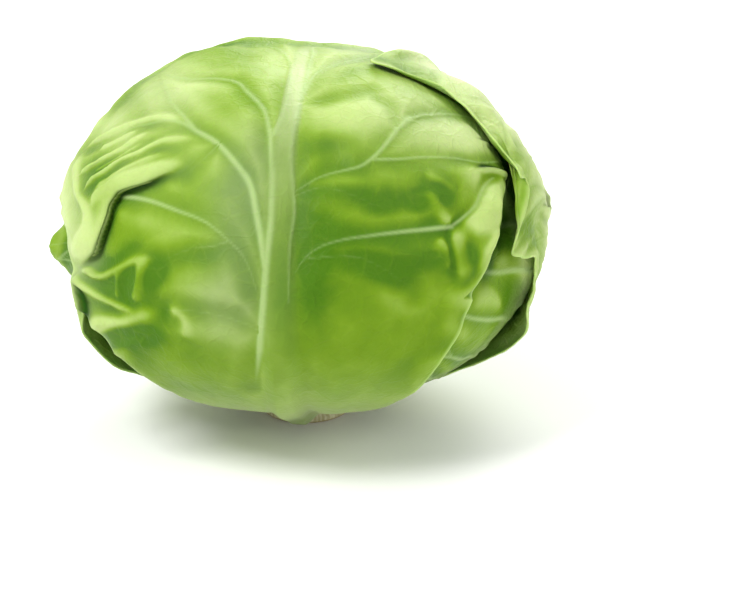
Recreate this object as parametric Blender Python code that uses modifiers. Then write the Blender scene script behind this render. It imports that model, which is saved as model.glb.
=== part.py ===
"""A head of white cabbage that stands on its cut stem.

The dense heart is one body. The loose wrapper leaves lie on it as separate curved blades, each with
its own midrib, from the innermost to the outermost. The stem's stump goes up into a hole in the heart.
Units are metres and +Z is up. The origin is the middle of the stem's cut face, and -Y is the front.
"""

import itertools
import math

import bmesh
import bpy
import numpy as np
from mathutils import Vector

# The whole head.
HEAD_CENTRE_Z = 0.0735
HEAD_CENTRE = Vector((0.0, 0.0, HEAD_CENTRE_Z))
HEART_HALF_WIDTH = 0.0855
HEART_TOP = 0.0665
HEART_BOTTOM = 0.0600
SHOULDER_POWER = 2.15
HEART_LUMPS = 0.0012
HEART_LUMP_SIZE = 0.045
HEART_DETAIL = 4

# The stem's stump, which the head stands on.
STEM_RADIUS = 0.0175
STEM_COLLAR_RADIUS = 0.0185
STEM_NECK_RADIUS = 0.0135
STEM_BARK_HEIGHT = 0.0075
STEM_NECK_Z = 0.0120
STEM_TOP_Z = 0.0360
STEM_EDGE = 0.0012
STEM_SIDES = 28
STEM_CLEARANCE = 0.0005

# What every leaf has. A leaf is drawn flat and laid over the head along ARC_RADIUS.
ARC_RADIUS = 0.0850
BLADE = 0.0012
GAP = 0.0012
RIB_BASE_HALF_WIDTH = 0.0105
RIB_TIP_HALF_WIDTH = 0.0035
RIB_BEND_ROOM = 2.5
RIB_PRESS = 1.25
BASE_ARC = 0.0290
BASE_HALF_WIDTH = 0.0200
COVER_REACH = 0.0080
COVER_FADE = 0.0200
CAP_DROP = 0.17
MARGIN_WANDER = 0.0035
MARGIN_WANDER_SIZE = 0.028
CURL_WIDTH = 0.0160
CURL_SIZE = 0.030
TIP_MIDDLE = 0.40
SWELL_SIZE = 0.035
SWELL_START = 0.35
SWELL_END = 0.35

# The flat leaf's outline: its width follows a sine from base to tip.
WIDTH_TURN = 0.78 * math.pi
TIP_ROUNDNESS = 2.4
SKEW_START = 0.7
SKEW_LENGTH = 0.9
TONGUE_START = 0.75
WANDER_SHARPNESS = 6
BLADE_SOLVE_STEPS = 5
WRAP_ANGLE = -0.4 * math.pi

# How strongly a leaf's rows and columns crowd towards its base and its midrib.
COLUMN_CROWDING = 0.38
ROW_CROWDING = 0.25

# The gathers: how much their ridges wander, and where along them they rise and fade.
FAN_WANDER = 0.12
FAN_WANDER_SIZE = 0.020
FAN_RISE = 0.25
FAN_FADE = 0.7

# The creases: widths of the lip's edge and back, and of the lower side's rise and fade.
LIP_EDGE = 0.004
LIP_WIDTH = 0.024
LIP_BACK = 0.020
LOW_EDGE = 0.008
LOW_WIDTH = 0.026
LOW_BACK = 0.018
LOW_SHARE = 0.45

NOISE_CELLS = 16
HEART_SEED = 7
HEART_NOISE_START = 5.3

# Plain colours for the three kinds of part, and their roughness.
HEART_COLOUR = (0.66, 0.76, 0.40)
STEM_COLOUR = (0.78, 0.76, 0.58)
LEAF_COLOUR = (0.40, 0.62, 0.16)
HEART_ROUGHNESS = 0.45
STEM_ROUGHNESS = 0.60
LEAF_ROUGHNESS = 0.42


def smoothstep(value):
    """0 below 0, 1 above 1, and a smooth rise between."""
    value = np.clip(value, 0.0, 1.0)
    return value * value * (3.0 - 2.0 * value)


def smooth_noise(points, seed):
    """Smooth noise from -1 to 1 on points whose cells are 1 wide."""
    table = np.random.default_rng(seed).uniform(-1.0, 1.0, (NOISE_CELLS,) * 3)
    cell = np.floor(points).astype(int)
    share = smoothstep(points - cell)
    total = np.zeros(len(points))
    for corner in itertools.product((0, 1), repeat=3):
        weight = np.prod(np.where(np.array(corner) == 1, share, 1.0 - share), axis=-1)
        index = (cell + np.array(corner)) % NOISE_CELLS
        total += weight * table[index[:, 0], index[:, 1], index[:, 2]]
    return total


def flat_noise(x, y, size, seed):
    """Smooth noise from -1 to 1 over a flat leaf."""
    return smooth_noise(np.stack([x / size, y / size, np.full_like(x, 0.5)], axis=-1), seed)


class Leaf:
    """One wrapper leaf: where it faces, its flat size, and how its blade is folded.

    facing is the midrib's angle about the head, 0 at the front and positive to the right.
    reach is the flat length from the middle of the head's underside to the leaf's tip.
    spread is how late the blade widens: 0.8 is early, 1.3 is late.
    cap_drop is how much shorter the blade is at the tip's corners, as a share of its reach.
    tip_skew is how much further back the tip's right part lies than its left part.
    tongue is a tongue of the tip's margin: (where across the blade, half width, length).
    rib is how far the midrib stands out at the base.
    right_share is how wide the right half is, as a share of the left half.
    left_curl and right_curl are how far the side margins stand off, and tip_curl the tip.
    tip_curls gives it for the tip's left corner, left middle, right middle and right corner.
    fans are the gathers: (x, y, depth, radius, count), ridges that spread from a point.
    folds are creases: (start, end, depth), each from inside the blade out to its margin.
    """

    def __init__(self, name, facing, half_width, reach, seed, cells, **shape):
        self.name = name
        self.facing = math.radians(facing)
        self.half_width = half_width
        self.reach = reach
        self.seed = seed
        self.cells = cells
        self.left_curl = shape.get("left_curl", 0.0015)
        self.right_curl = shape.get("right_curl", 0.0015)
        tip_curl = shape.get("tip_curl", 0.0015)
        self.tip_curls = shape.get("tip_curls", (tip_curl,) * 4)
        self.right_share = shape.get("right_share", 1.0)
        self.spread = shape.get("spread", 1.0)
        self.cap_drop = shape.get("cap_drop", CAP_DROP)
        self.tip_skew = shape.get("tip_skew", 0.0)
        self.tongue = shape.get("tongue", (0.0, 1.0, 0.0))
        self.rib = shape.get("rib", 0.0048)
        self.swell = shape.get("swell", 0.0)
        self.fans = shape.get("fans", ())
        self.folds = shape.get("folds", ())
        self.front = np.array([math.sin(self.facing), -math.cos(self.facing), 0.0])
        self.side = np.array([math.cos(self.facing), math.sin(self.facing), 0.0])


# From the innermost to the outermost.
LEAVES = (
    Leaf("leaf_back", 176, 0.086, 0.258, 61, (18, 20), rib=0.0030, tip_curl=0.0030),
    Leaf("leaf_under_left", -66, 0.082, 0.226, 51, (16, 20), rib=0.0025, tip_curl=0.0025),
    Leaf(
        "leaf_under_right", 64, 0.084, 0.226, 41, (20, 24), rib=0.0025, left_curl=0.0030,
        tip_curl=0.0020,
    ),
    Leaf(
        "leaf_left", -126, 0.094, 0.222, 31, (22, 22), left_curl=0.0030, right_curl=0.0045,
        tip_curl=0.0040, swell=0.0010,
    ),
    Leaf(
        "leaf_front", -6, 0.104, 0.304, 21, (36, 36), spread=1.3, right_share=0.845, cap_drop=0.10,
        left_curl=0.0025, right_curl=0.0030, tip_curl=0.0020, swell=0.0012,
        fans=((-0.082, 0.136, 0.0022, 0.052, 16), (0.078, 0.106, 0.0014, 0.050, 14)),
        folds=(((-0.033, 0.180), (-0.077, 0.142), 0.0060),),
    ),
    Leaf(
        "leaf_right", 128, 0.109, 0.237, 11, (30, 24), spread=0.95, cap_drop=0.125,
        tip_skew=0.039, tongue=(-0.40, 0.27, 0.032), left_curl=0.0040, right_curl=0.0040,
        tip_curls=(0.0030, 0.0010, 0.0, 0.0020), swell=0.0026,
        fans=((-0.098, 0.138, 0.0014, 0.045, 14),),
    ),
)


def heart_radius(direction):
    """Distance from the head's centre to the heart's skin, along unit directions."""
    level = np.hypot(direction[:, 0], direction[:, 1]) / HEART_HALF_WIDTH
    height = np.where(direction[:, 2] > 0.0, HEART_TOP, HEART_BOTTOM)
    upright = np.abs(direction[:, 2]) / height
    radius = (level**SHOULDER_POWER + upright**SHOULDER_POWER) ** (-1.0 / SHOULDER_POWER)
    lumps = direction * ARC_RADIUS / HEART_LUMP_SIZE + HEART_NOISE_START
    return radius + HEART_LUMPS * smooth_noise(lumps, HEART_SEED)


def to_direction(leaf, x, y):
    """Unit directions from the head's centre for points of the flat leaf."""
    across = (x / ARC_RADIUS)[:, None]
    along = (y / ARC_RADIUS)[:, None]
    up = np.array([0.0, 0.0, 1.0])
    return np.cos(across) * (np.sin(along) * leaf.front - np.cos(along) * up) + np.sin(across) * leaf.side


def to_flat(leaf, direction):
    """Where on the flat leaf the unit directions fall."""
    across = np.arcsin(np.clip(direction @ leaf.side, -1.0, 1.0))
    along = np.arctan2(direction @ leaf.front, -direction[:, 2])
    along = np.where(along < WRAP_ANGLE, along + 2.0 * math.pi, along)
    return across * ARC_RADIUS, along * ARC_RADIUS


def half_width_at(leaf, t, side):
    """The width of the blade's left or right half at t, 0 at the base and 1 at the tip."""
    rise = np.sin(WIDTH_TURN * np.clip(t, 0.0, 1.0) ** leaf.spread)
    widest = leaf.half_width * np.where(side > 0.0, leaf.right_share, 1.0)
    return BASE_HALF_WIDTH + (widest - BASE_HALF_WIDTH) * rise


def base_line(s):
    """The base margin of the flat leaf, an arc round the stem."""
    return np.sqrt(BASE_ARC**2 - (BASE_HALF_WIDTH * s) ** 2)


def tip_line(leaf, s):
    """The tip margin of the flat leaf, at s from -1 at the left to 1 at the right."""
    cap = leaf.reach * (1.0 - leaf.cap_drop * np.abs(s) ** TIP_ROUNDNESS)
    return cap - leaf.tip_skew * smoothstep((s + SKEW_START) / SKEW_LENGTH)


def tongue_reach(leaf, s, t):
    """How far a tongue of the tip's margin stands out past the rest of it."""
    place, half_width, length = leaf.tongue
    rise = smoothstep((t - TONGUE_START) / (1.0 - TONGUE_START))
    return length * rise * smoothstep(1.0 - np.abs(s - place) / half_width)


def blade_to_flat(leaf, s, t):
    """Flat coordinates of the blade's own coordinates s and t, with a wandering margin."""
    x = s * half_width_at(leaf, t, s)
    low = base_line(s)
    y = low + t * (tip_line(leaf, s) - low) + tongue_reach(leaf, s, t)
    outward = np.maximum(np.abs(s), t) ** WANDER_SHARPNESS * smoothstep(t / 0.3)
    wander = MARGIN_WANDER * outward
    x = x + wander * flat_noise(x, y, MARGIN_WANDER_SIZE, leaf.seed)
    y = y + wander * flat_noise(x, y, MARGIN_WANDER_SIZE, leaf.seed + 1)
    return x, y


def flat_to_blade(leaf, x, y):
    """The blade coordinates s and t of flat points, past 1 outside the margin."""
    t = (y - BASE_ARC) / (leaf.reach - BASE_ARC)
    for _ in range(BLADE_SOLVE_STEPS):
        s = x / half_width_at(leaf, t, x)
        near = np.clip(s, -1.0, 1.0)
        low = base_line(near)
        t = (y - low) / (tip_line(leaf, near) - low)
    return s, t


def margin_distance(leaf, s, t):
    """Distance in from the nearest margin, negative outside."""
    side = (1.0 - np.abs(s)) * half_width_at(leaf, t, s)
    length = leaf.reach - BASE_ARC
    return np.minimum(side, np.minimum((1.0 - t) * length, t * length))


def cover(leaf, direction):
    """1 wherever the leaf lies and a little past its margin, fading to 0 outside."""
    s, t = flat_to_blade(leaf, *to_flat(leaf, direction))
    return smoothstep((margin_distance(leaf, s, t) + COVER_REACH + COVER_FADE) / COVER_FADE)


def rib_height(leaf, x, t, room=1.0):
    """How far the midrib stands out of the blade. room widens it for what lies over it."""
    t = np.clip(t, 0.0, 1.0)
    half = RIB_TIP_HALF_WIDTH + (RIB_BASE_HALF_WIDTH - RIB_TIP_HALF_WIDTH) * (1.0 - t) ** 1.3
    tall = leaf.rib * (1.0 - t) ** 1.2
    return tall * np.cos(np.clip(x / (half * room), -1.0, 1.0) * math.pi / 2) ** 2


def layer_height(leaf, direction):
    """What one leaf adds under the leaves that lie over it."""
    x, y = to_flat(leaf, direction)
    s, t = flat_to_blade(leaf, x, y)
    rib = rib_height(leaf, x, t, RIB_BEND_ROOM) * RIB_PRESS
    lies_here = cover(leaf, direction)
    return lies_here * (BLADE + GAP + rib)


def covered(leaf, direction):
    """1 where leaves further out press this leaf flat, 0 where it is free."""
    pressed = np.zeros(len(direction))
    for other in LEAVES[LEAVES.index(leaf) + 1 :]:
        pressed = np.maximum(pressed, cover(other, direction))
    return pressed


def fan_height(leaf, x, y):
    """Gathers: ridges that spread from a point near the margin."""
    height = np.zeros(len(x))
    for number, (fan_x, fan_y, depth, radius, count) in enumerate(leaf.fans):
        away = np.hypot(x - fan_x, y - fan_y) / radius
        turn = np.arctan2(y - fan_y, x - fan_x)
        turn = turn + FAN_WANDER * flat_noise(x, y, FAN_WANDER_SIZE, leaf.seed + 20 + number)
        strength = smoothstep(away / FAN_RISE) * smoothstep((1.0 - away) / FAN_FADE)
        height += depth * strength * (0.5 + 0.5 * np.cos(count * turn))
    return height


def fold_height(leaf, x, y):
    """Creases: a swollen lip on the upper side of a line, and a groove along the line."""
    height = np.zeros(len(x))
    for start, end, depth in leaf.folds:
        start, end = np.array(start), np.array(end)
        length = np.linalg.norm(end - start)
        ahead = (end - start) / length
        along = ((x - start[0]) * ahead[0] + (y - start[1]) * ahead[1]) / length
        off = (x - start[0]) * ahead[1] - (y - start[1]) * ahead[0]
        open_here = smoothstep(along / 0.5 + 0.1) * smoothstep((1.35 - along) / 0.35)
        lip = smoothstep(off / LIP_EDGE) * smoothstep((LIP_WIDTH - off) / LIP_BACK)
        low = smoothstep((-off - 0.001) / LOW_EDGE) * smoothstep((LOW_WIDTH + off) / LOW_BACK)
        height += depth * open_here * (lip + LOW_SHARE * low)
    return height


def curl_height(leaf, x, y, s, t):
    """How far the margins stand off what lies under them."""
    width = half_width_at(leaf, t, s)
    side_curl = np.where(s < 0.0, leaf.left_curl, leaf.right_curl)
    side = smoothstep(1.0 - (1.0 - np.abs(s)) * width / CURL_WIDTH) * smoothstep((t - 0.12) / 0.2)
    tip = smoothstep(1.0 - (1.0 - t) * leaf.reach / CURL_WIDTH)
    uneven = 0.65 + 0.35 * flat_noise(x, y, CURL_SIZE, leaf.seed + 40)
    tip_curl = np.interp(s, (-1.0, -TIP_MIDDLE, TIP_MIDDLE, 1.0), leaf.tip_curls)
    return np.maximum(side * side_curl, tip * tip_curl) * uneven


def leaf_points(leaf, s, t):
    """The inner face of a leaf, laid over the heart and the leaves under it."""
    x, y = blade_to_flat(leaf, s, t)
    direction = to_direction(leaf, x, y)
    radius = heart_radius(direction) + GAP
    for under in LEAVES[: LEAVES.index(leaf)]:
        radius += layer_height(under, direction)
    free = 1.0 - covered(leaf, direction)
    relief = fan_height(leaf, x, y) + fold_height(leaf, x, y) + curl_height(leaf, x, y, s, t)
    swell = leaf.swell * smoothstep(t / SWELL_START) * smoothstep((1.0 - t) / SWELL_END)
    relief += swell * (1.0 + flat_noise(x, y, SWELL_SIZE, leaf.seed + 60))
    radius += free * relief
    points = direction * radius[:, None]
    points[:, 2] += HEAD_CENTRE_Z
    return points


def material(name, colour, roughness):
    """A plain Principled surface."""
    made = bpy.data.materials.new(name)
    made.use_nodes = True
    shader = made.node_tree.nodes["Principled BSDF"]
    shader.inputs["Base Color"].default_value = (*colour, 1.0)
    shader.inputs["Roughness"].default_value = roughness
    return made


def add_object(name, mesh, finish, collection):
    """A named object that carries a mesh and its material."""
    mesh.materials.append(finish)
    made = bpy.data.objects.new(name, mesh)
    collection.objects.link(made)
    return made


def make_leaf(leaf, finish, collection):
    """A grid laid as the blade's inner face, thickened outwards, most along the midrib."""
    grid = bmesh.new()
    bmesh.ops.create_grid(grid, x_segments=leaf.cells[0], y_segments=leaf.cells[1], size=1.0)
    place = np.array([vertex.co[:] for vertex in grid.verts])
    s = place[:, 0]
    t = (place[:, 1] + 1.0) / 2.0
    s = s * (1.0 - COLUMN_CROWDING + COLUMN_CROWDING * s * s)
    t = t * (1.0 - ROW_CROWDING + ROW_CROWDING * t)
    for vertex, point in zip(grid.verts, leaf_points(leaf, s, t)):
        vertex.co = point
    bmesh.ops.triangulate(grid, faces=grid.faces)
    bmesh.ops.recalc_face_normals(grid, faces=grid.faces)
    outward = sum(face.normal.dot(face.calc_center_median() - HEAD_CENTRE) for face in grid.faces)
    if outward < 0.0:
        bmesh.ops.reverse_faces(grid, faces=grid.faces)
    mesh = bpy.data.meshes.new(leaf.name)
    grid.to_mesh(mesh)
    grid.free()
    mesh.shade_smooth()
    blade = add_object(leaf.name, mesh, finish, collection)

    x = blade_to_flat(leaf, s, t)[0]
    thickest = BLADE + leaf.rib
    weights = rib_height(leaf, x, t) / leaf.rib
    group = blade.vertex_groups.new(name="midrib")
    for index, weight in enumerate(weights):
        group.add([index], float(weight), "REPLACE")
    thicken = blade.modifiers.new("thickness", "SOLIDIFY")
    thicken.thickness = thickest
    thicken.offset = 1.0
    thicken.vertex_group = group.name
    thicken.thickness_vertex_group = BLADE / thickest
    return blade


def make_heart(finish, collection):
    """The dense inner head, with a plain hole for the stem's neck."""
    ball = bmesh.new()
    bmesh.ops.create_icosphere(ball, subdivisions=HEART_DETAIL, radius=1.0)
    direction = np.array([vertex.co[:] for vertex in ball.verts])
    direction /= np.linalg.norm(direction, axis=1)[:, None]
    for vertex, toward, radius in zip(ball.verts, direction, heart_radius(direction)):
        vertex.co = toward * radius
        vertex.co.z += HEAD_CENTRE_Z
    mesh = bpy.data.meshes.new("heart")
    ball.to_mesh(mesh)
    ball.free()
    mesh.shade_smooth()
    heart = add_object("heart", mesh, finish, collection)

    depth = STEM_TOP_Z + STEM_CLEARANCE
    bpy.ops.mesh.primitive_cylinder_add(
        vertices=STEM_SIDES,
        radius=STEM_NECK_RADIUS + STEM_CLEARANCE,
        depth=depth,
        location=(0.0, 0.0, depth / 2),
    )
    cutter = bpy.context.object
    cutter.name = "stem_hole_cutter"
    for owner in list(cutter.users_collection):
        owner.objects.unlink(cutter)
    cutters = bpy.data.collections.new("cutters")
    bpy.context.scene.collection.children.link(cutters)
    cutters.objects.link(cutter)
    cutter.hide_render = True
    cutter.display_type = "WIRE"
    hole = heart.modifiers.new("stem_hole", "BOOLEAN")
    hole.operation = "DIFFERENCE"
    hole.object = cutter
    return heart


def make_stem(finish, collection):
    """The stump: a turned shape with a flat cut face at z = 0 and a neck up into the heart."""
    outline = (
        (0.0, STEM_TOP_Z),
        (STEM_NECK_RADIUS, STEM_TOP_Z),
        (STEM_NECK_RADIUS, STEM_NECK_Z),
        (STEM_COLLAR_RADIUS, STEM_BARK_HEIGHT),
        (STEM_RADIUS, STEM_EDGE),
        (STEM_RADIUS - STEM_EDGE, 0.0),
        (0.0, 0.0),
    )
    mesh = bpy.data.meshes.new("stem")
    corners = [(radius, 0.0, height) for radius, height in outline]
    mesh.from_pydata(corners, [(i, i + 1) for i in range(len(corners) - 1)], [])
    stem = add_object("stem", mesh, finish, collection)
    turn = stem.modifiers.new("turned", "SCREW")
    turn.axis = "Z"
    turn.steps = STEM_SIDES
    turn.render_steps = STEM_SIDES
    turn.use_merge_vertices = True
    turn.merge_threshold = 0.0001
    turn.use_smooth_shade = True
    return stem


def main():
    """Clears the scene and makes the heart, the stem and every leaf."""
    for old in list(bpy.data.objects):
        bpy.data.objects.remove(old)
    cabbage = bpy.data.collections.new("cabbage_head")
    bpy.context.scene.collection.children.link(cabbage)
    make_heart(material("heart", HEART_COLOUR, HEART_ROUGHNESS), cabbage)
    make_stem(material("stem", STEM_COLOUR, STEM_ROUGHNESS), cabbage)
    for leaf in LEAVES:
        make_leaf(leaf, material(leaf.name, LEAF_COLOUR, LEAF_ROUGHNESS), cabbage)


main()
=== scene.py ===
# %% [markdown]
# # A head of white cabbage
#
# This lesson dresses a cabbage head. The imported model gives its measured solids: a dense heart, a cut
# stem and six wrapper leaves that lie over each other. Here each of them gets the fine surface that a
# real one has, on the same curves, so nothing changes its size or place.

import itertools
import math

import bpy
import numpy as np
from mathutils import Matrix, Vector, kdtree


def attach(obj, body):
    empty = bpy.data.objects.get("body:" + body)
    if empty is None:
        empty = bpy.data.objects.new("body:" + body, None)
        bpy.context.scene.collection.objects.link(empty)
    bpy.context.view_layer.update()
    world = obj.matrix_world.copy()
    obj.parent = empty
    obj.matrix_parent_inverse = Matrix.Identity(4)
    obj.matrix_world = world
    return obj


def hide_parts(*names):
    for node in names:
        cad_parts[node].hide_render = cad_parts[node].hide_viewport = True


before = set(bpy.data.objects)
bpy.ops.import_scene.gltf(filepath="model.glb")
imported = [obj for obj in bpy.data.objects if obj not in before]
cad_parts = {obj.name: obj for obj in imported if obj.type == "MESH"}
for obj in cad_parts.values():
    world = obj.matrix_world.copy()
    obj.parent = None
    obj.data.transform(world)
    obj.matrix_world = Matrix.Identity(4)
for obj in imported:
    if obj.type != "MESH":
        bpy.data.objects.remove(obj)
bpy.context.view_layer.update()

# %% [markdown]
# ## The view
#
# The head is seen from the front and a little above, through a long lens, so its outline is hardly
# distorted. The head stands left of the picture's middle. Turning the camera does that without a shift.

# %% Camera
HEAD_CENTRE = Vector((0.0, 0.0, 0.0735))
PICTURE_WIDTH = 750
PICTURE_HEIGHT = 600
HEAD_PIXEL = (305, 233)
LENS_PIXELS = 2092
SENSOR_WIDTH = 36.0
CAMERA_DISTANCE = 0.82
CAMERA_ELEVATION = math.radians(18.0)

camera_back = Vector((0.0, -math.cos(CAMERA_ELEVATION), math.sin(CAMERA_ELEVATION)))
camera_up = Vector((0.0, math.sin(CAMERA_ELEVATION), math.cos(CAMERA_ELEVATION)))
metres_a_pixel = CAMERA_DISTANCE / LENS_PIXELS
aim = HEAD_CENTRE.copy()
aim.x += (PICTURE_WIDTH / 2 - HEAD_PIXEL[0]) * metres_a_pixel
aim -= camera_up * (PICTURE_HEIGHT / 2 - HEAD_PIXEL[1]) * metres_a_pixel

camera = bpy.data.objects.new("camera", bpy.data.cameras.new("camera"))
bpy.context.scene.collection.objects.link(camera)
camera.data.sensor_width = SENSOR_WIDTH
camera.data.lens = LENS_PIXELS * SENSOR_WIDTH / PICTURE_WIDTH
camera.location = HEAD_CENTRE + camera_back * CAMERA_DISTANCE
camera.rotation_mode = "QUATERNION"
camera.rotation_quaternion = (aim - camera.location).to_track_quat("-Z", "Y")
bpy.context.scene.camera = camera
bpy.context.view_layer.update()
print("lens:", round(camera.data.lens, 1), "mm")

# %% [markdown]
# ## The shape of the head
#
# The wrapper leaves are drawn flat and laid over the heart, one on another. Each one adds its own
# thickness for the next, and the step fades out past its margin. These are the measured model's own
# rules and sizes, so the fine leaves land on the solids.

# %% Sizes of the head
HEART_HALF_WIDTH = 0.0855
HEART_TOP = 0.0665
HEART_BOTTOM = 0.0600
SHOULDER_POWER = 2.15
HEART_LUMPS = 0.0012
HEART_LUMP_SIZE = 0.045
HEART_SEED = 7
HEART_NOISE_START = 5.3

ARC_RADIUS = 0.0850
BLADE = 0.0012
GAP = 0.0012
RIB_BASE_HALF_WIDTH = 0.0105
RIB_TIP_HALF_WIDTH = 0.0035
RIB_BEND_ROOM = 2.5
RIB_PRESS = 1.25
BASE_ARC = 0.0290
BASE_HALF_WIDTH = 0.0200
COVER_REACH = 0.0080
COVER_FADE = 0.0200
CAP_DROP = 0.17
MARGIN_WANDER = 0.0035
MARGIN_WANDER_SIZE = 0.028
CURL_WIDTH = 0.0160
CURL_SIZE = 0.030
TIP_MIDDLE = 0.40
SWELL_SIZE = 0.035
SWELL_START = 0.35
SWELL_END = 0.35
WIDTH_TURN = 0.78 * math.pi
TIP_ROUNDNESS = 2.4
SKEW_START = 0.7
SKEW_LENGTH = 0.9
TONGUE_START = 0.75
WANDER_SHARPNESS = 6
BLADE_SOLVE_STEPS = 5
WRAP_ANGLE = -0.4 * math.pi
NOISE_CELLS = 16
WANDER_START = 0.3
RIB_NARROWING = 1.3
RIB_LOWERING = 1.2
CURL_START = 0.12
CURL_RISE = 0.2
CURL_MEAN = 0.65
CURL_UNEVENNESS = 0.35
CURL_DRAW = 40
LOBE_START = 0.55
LOBE_SPAN = 0.45
MILLIMETRE = 0.001


# %% Smooth steps and smooth noise
def smoothstep(value):
    """0 below 0, 1 above 1, and a smooth rise between."""
    value = np.clip(value, 0.0, 1.0)
    return value * value * (3.0 - 2.0 * value)


def smooth_noise(points, seed):
    """Smooth noise from -1 to 1 on points whose cells are 1 wide."""
    table = np.random.default_rng(seed).uniform(-1.0, 1.0, (NOISE_CELLS,) * 3)
    cell = np.floor(points).astype(int)
    share = smoothstep(points - cell)
    total = np.zeros(len(points))
    for corner in itertools.product((0, 1), repeat=3):
        weight = np.prod(np.where(np.array(corner) == 1, share, 1.0 - share), axis=-1)
        index = (cell + np.array(corner)) % NOISE_CELLS
        total += weight * table[index[:, 0], index[:, 1], index[:, 2]]
    return total


def flat_noise(x, y, size, seed):
    """Smooth noise from -1 to 1 over a flat leaf."""
    return smooth_noise(np.stack([x / size, y / size, np.full_like(x, 0.5)], axis=-1), seed)


# %% What each wrapper leaf is
PLAIN_CURL = 0.0015
PLAIN_RIB = 0.0048


class Leaf:
    """One wrapper leaf: where it faces, its flat size, how it curls and how finely it is made."""

    def __init__(self, name, facing, half_width, reach, seed, cells, **shape):
        self.name = name
        self.facing = math.radians(facing)
        self.half_width = half_width
        self.reach = reach
        self.seed = seed
        self.cells = cells
        self.left_curl = shape.get("left_curl", PLAIN_CURL)
        self.right_curl = shape.get("right_curl", PLAIN_CURL)
        tip_curl = shape.get("tip_curl", PLAIN_CURL)
        self.tip_curls = shape.get("tip_curls", (tip_curl,) * 4)
        self.right_share = shape.get("right_share", 1.0)
        self.spread = shape.get("spread", 1.0)
        self.cap_drop = shape.get("cap_drop", CAP_DROP)
        self.tip_skew = shape.get("tip_skew", 0.0)
        self.tongue = shape.get("tongue", (0.0, 1.0, 0.0))
        self.rib = shape.get("rib", PLAIN_RIB)
        self.swell = shape.get("swell", 0.0)
        self.tone = shape.get("tone", 0.5)
        self.front = np.array([math.sin(self.facing), -math.cos(self.facing), 0.0])
        self.side = np.array([math.cos(self.facing), math.sin(self.facing), 0.0])


LEAVES = (
    Leaf("leaf_back", 176, 0.086, 0.258, 61, (180, 220), rib=0.0030, tip_curl=0.0030, tone=0.45),
    Leaf(
        "leaf_under_left", -66, 0.082, 0.226, 51, (160, 200), rib=0.0025, tip_curl=0.0025, tone=0.2
    ),
    Leaf(
        "leaf_under_right", 64, 0.084, 0.226, 41, (160, 200), rib=0.0025, left_curl=0.0030,
        tip_curl=0.0020, tone=0.1,
    ),
    Leaf(
        "leaf_left", -126, 0.094, 0.222, 31, (220, 240), left_curl=0.0030, right_curl=0.0045,
        tip_curl=0.0040, swell=0.0010, tone=0.45,
    ),
    Leaf(
        "leaf_front", -6, 0.104, 0.304, 21, (264, 294), spread=1.3, right_share=0.845,
        cap_drop=0.10, left_curl=0.0025, right_curl=0.0030, tip_curl=0.0020, swell=0.0012, tone=0.5,
    ),
    Leaf(
        "leaf_right", 128, 0.109, 0.237, 11, (260, 260), spread=0.95, cap_drop=0.125,
        tip_skew=0.039, tongue=(-0.40, 0.27, 0.032), left_curl=0.0040, right_curl=0.0040,
        tip_curls=(0.0030, 0.0010, 0.0, 0.0020), swell=0.0026, tone=1.0,
    ),
)
UNDER_LEAF, LEFT_LEAF, FRONT_LEAF, RIGHT_LEAF = LEAVES[2:]
LOBES = (
    # leaf, side, four places along the margin where it rises, is full, falls and ends, its reach
    ("leaf_front", -1, 0.43, 0.48, 0.53, 0.62, -0.0085),
    ("leaf_front", 1, 0.62, 0.78, 0.95, 1.10, 0.0060),
    ("leaf_front", 1, 0.36, 0.46, 0.52, 0.60, -0.0030),
    ("leaf_right", -1, 0.700, 0.825, 0.862, 0.884, 0.0110),
    ("leaf_right", -1, 0.868, 0.888, 0.902, 0.935, -0.0055),
    ("leaf_right", -1, 0.400, 0.560, 0.650, 0.720, -0.0095),
)


# %% Laying a flat leaf over the head
def heart_radius(direction):
    """Distance from the head's centre to the heart's skin, along unit directions."""
    level = np.hypot(direction[:, 0], direction[:, 1]) / HEART_HALF_WIDTH
    height = np.where(direction[:, 2] > 0.0, HEART_TOP, HEART_BOTTOM)
    upright = np.abs(direction[:, 2]) / height
    radius = (level**SHOULDER_POWER + upright**SHOULDER_POWER) ** (-1.0 / SHOULDER_POWER)
    lumps = direction * ARC_RADIUS / HEART_LUMP_SIZE + HEART_NOISE_START
    return radius + HEART_LUMPS * smooth_noise(lumps, HEART_SEED)


def to_direction(leaf, x, y):
    """Unit directions from the head's centre for points of the flat leaf."""
    across = (x / ARC_RADIUS)[:, None]
    along = (y / ARC_RADIUS)[:, None]
    up = np.array([0.0, 0.0, 1.0])
    forward = np.sin(along) * leaf.front - np.cos(along) * up
    return np.cos(across) * forward + np.sin(across) * leaf.side


def to_flat(leaf, direction):
    """Where on the flat leaf the unit directions fall."""
    across = np.arcsin(np.clip(direction @ leaf.side, -1.0, 1.0))
    along = np.arctan2(direction @ leaf.front, -direction[:, 2])
    along = np.where(along < WRAP_ANGLE, along + 2.0 * math.pi, along)
    return across * ARC_RADIUS, along * ARC_RADIUS


def half_width_at(leaf, t, side):
    """The width of the blade's left or right half at t, 0 at the base and 1 at the tip."""
    rise = np.sin(WIDTH_TURN * np.clip(t, 0.0, 1.0) ** leaf.spread)
    widest = leaf.half_width * np.where(side > 0.0, leaf.right_share, 1.0)
    return BASE_HALF_WIDTH + (widest - BASE_HALF_WIDTH) * rise


def base_line(s):
    """The base margin of the flat leaf, an arc round the stem."""
    return np.sqrt(BASE_ARC**2 - (BASE_HALF_WIDTH * s) ** 2)


def tip_line(leaf, s):
    """The tip margin of the flat leaf, at s from -1 at the left to 1 at the right."""
    cap = leaf.reach * (1.0 - leaf.cap_drop * np.abs(s) ** TIP_ROUNDNESS)
    return cap - leaf.tip_skew * smoothstep((s + SKEW_START) / SKEW_LENGTH)


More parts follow.
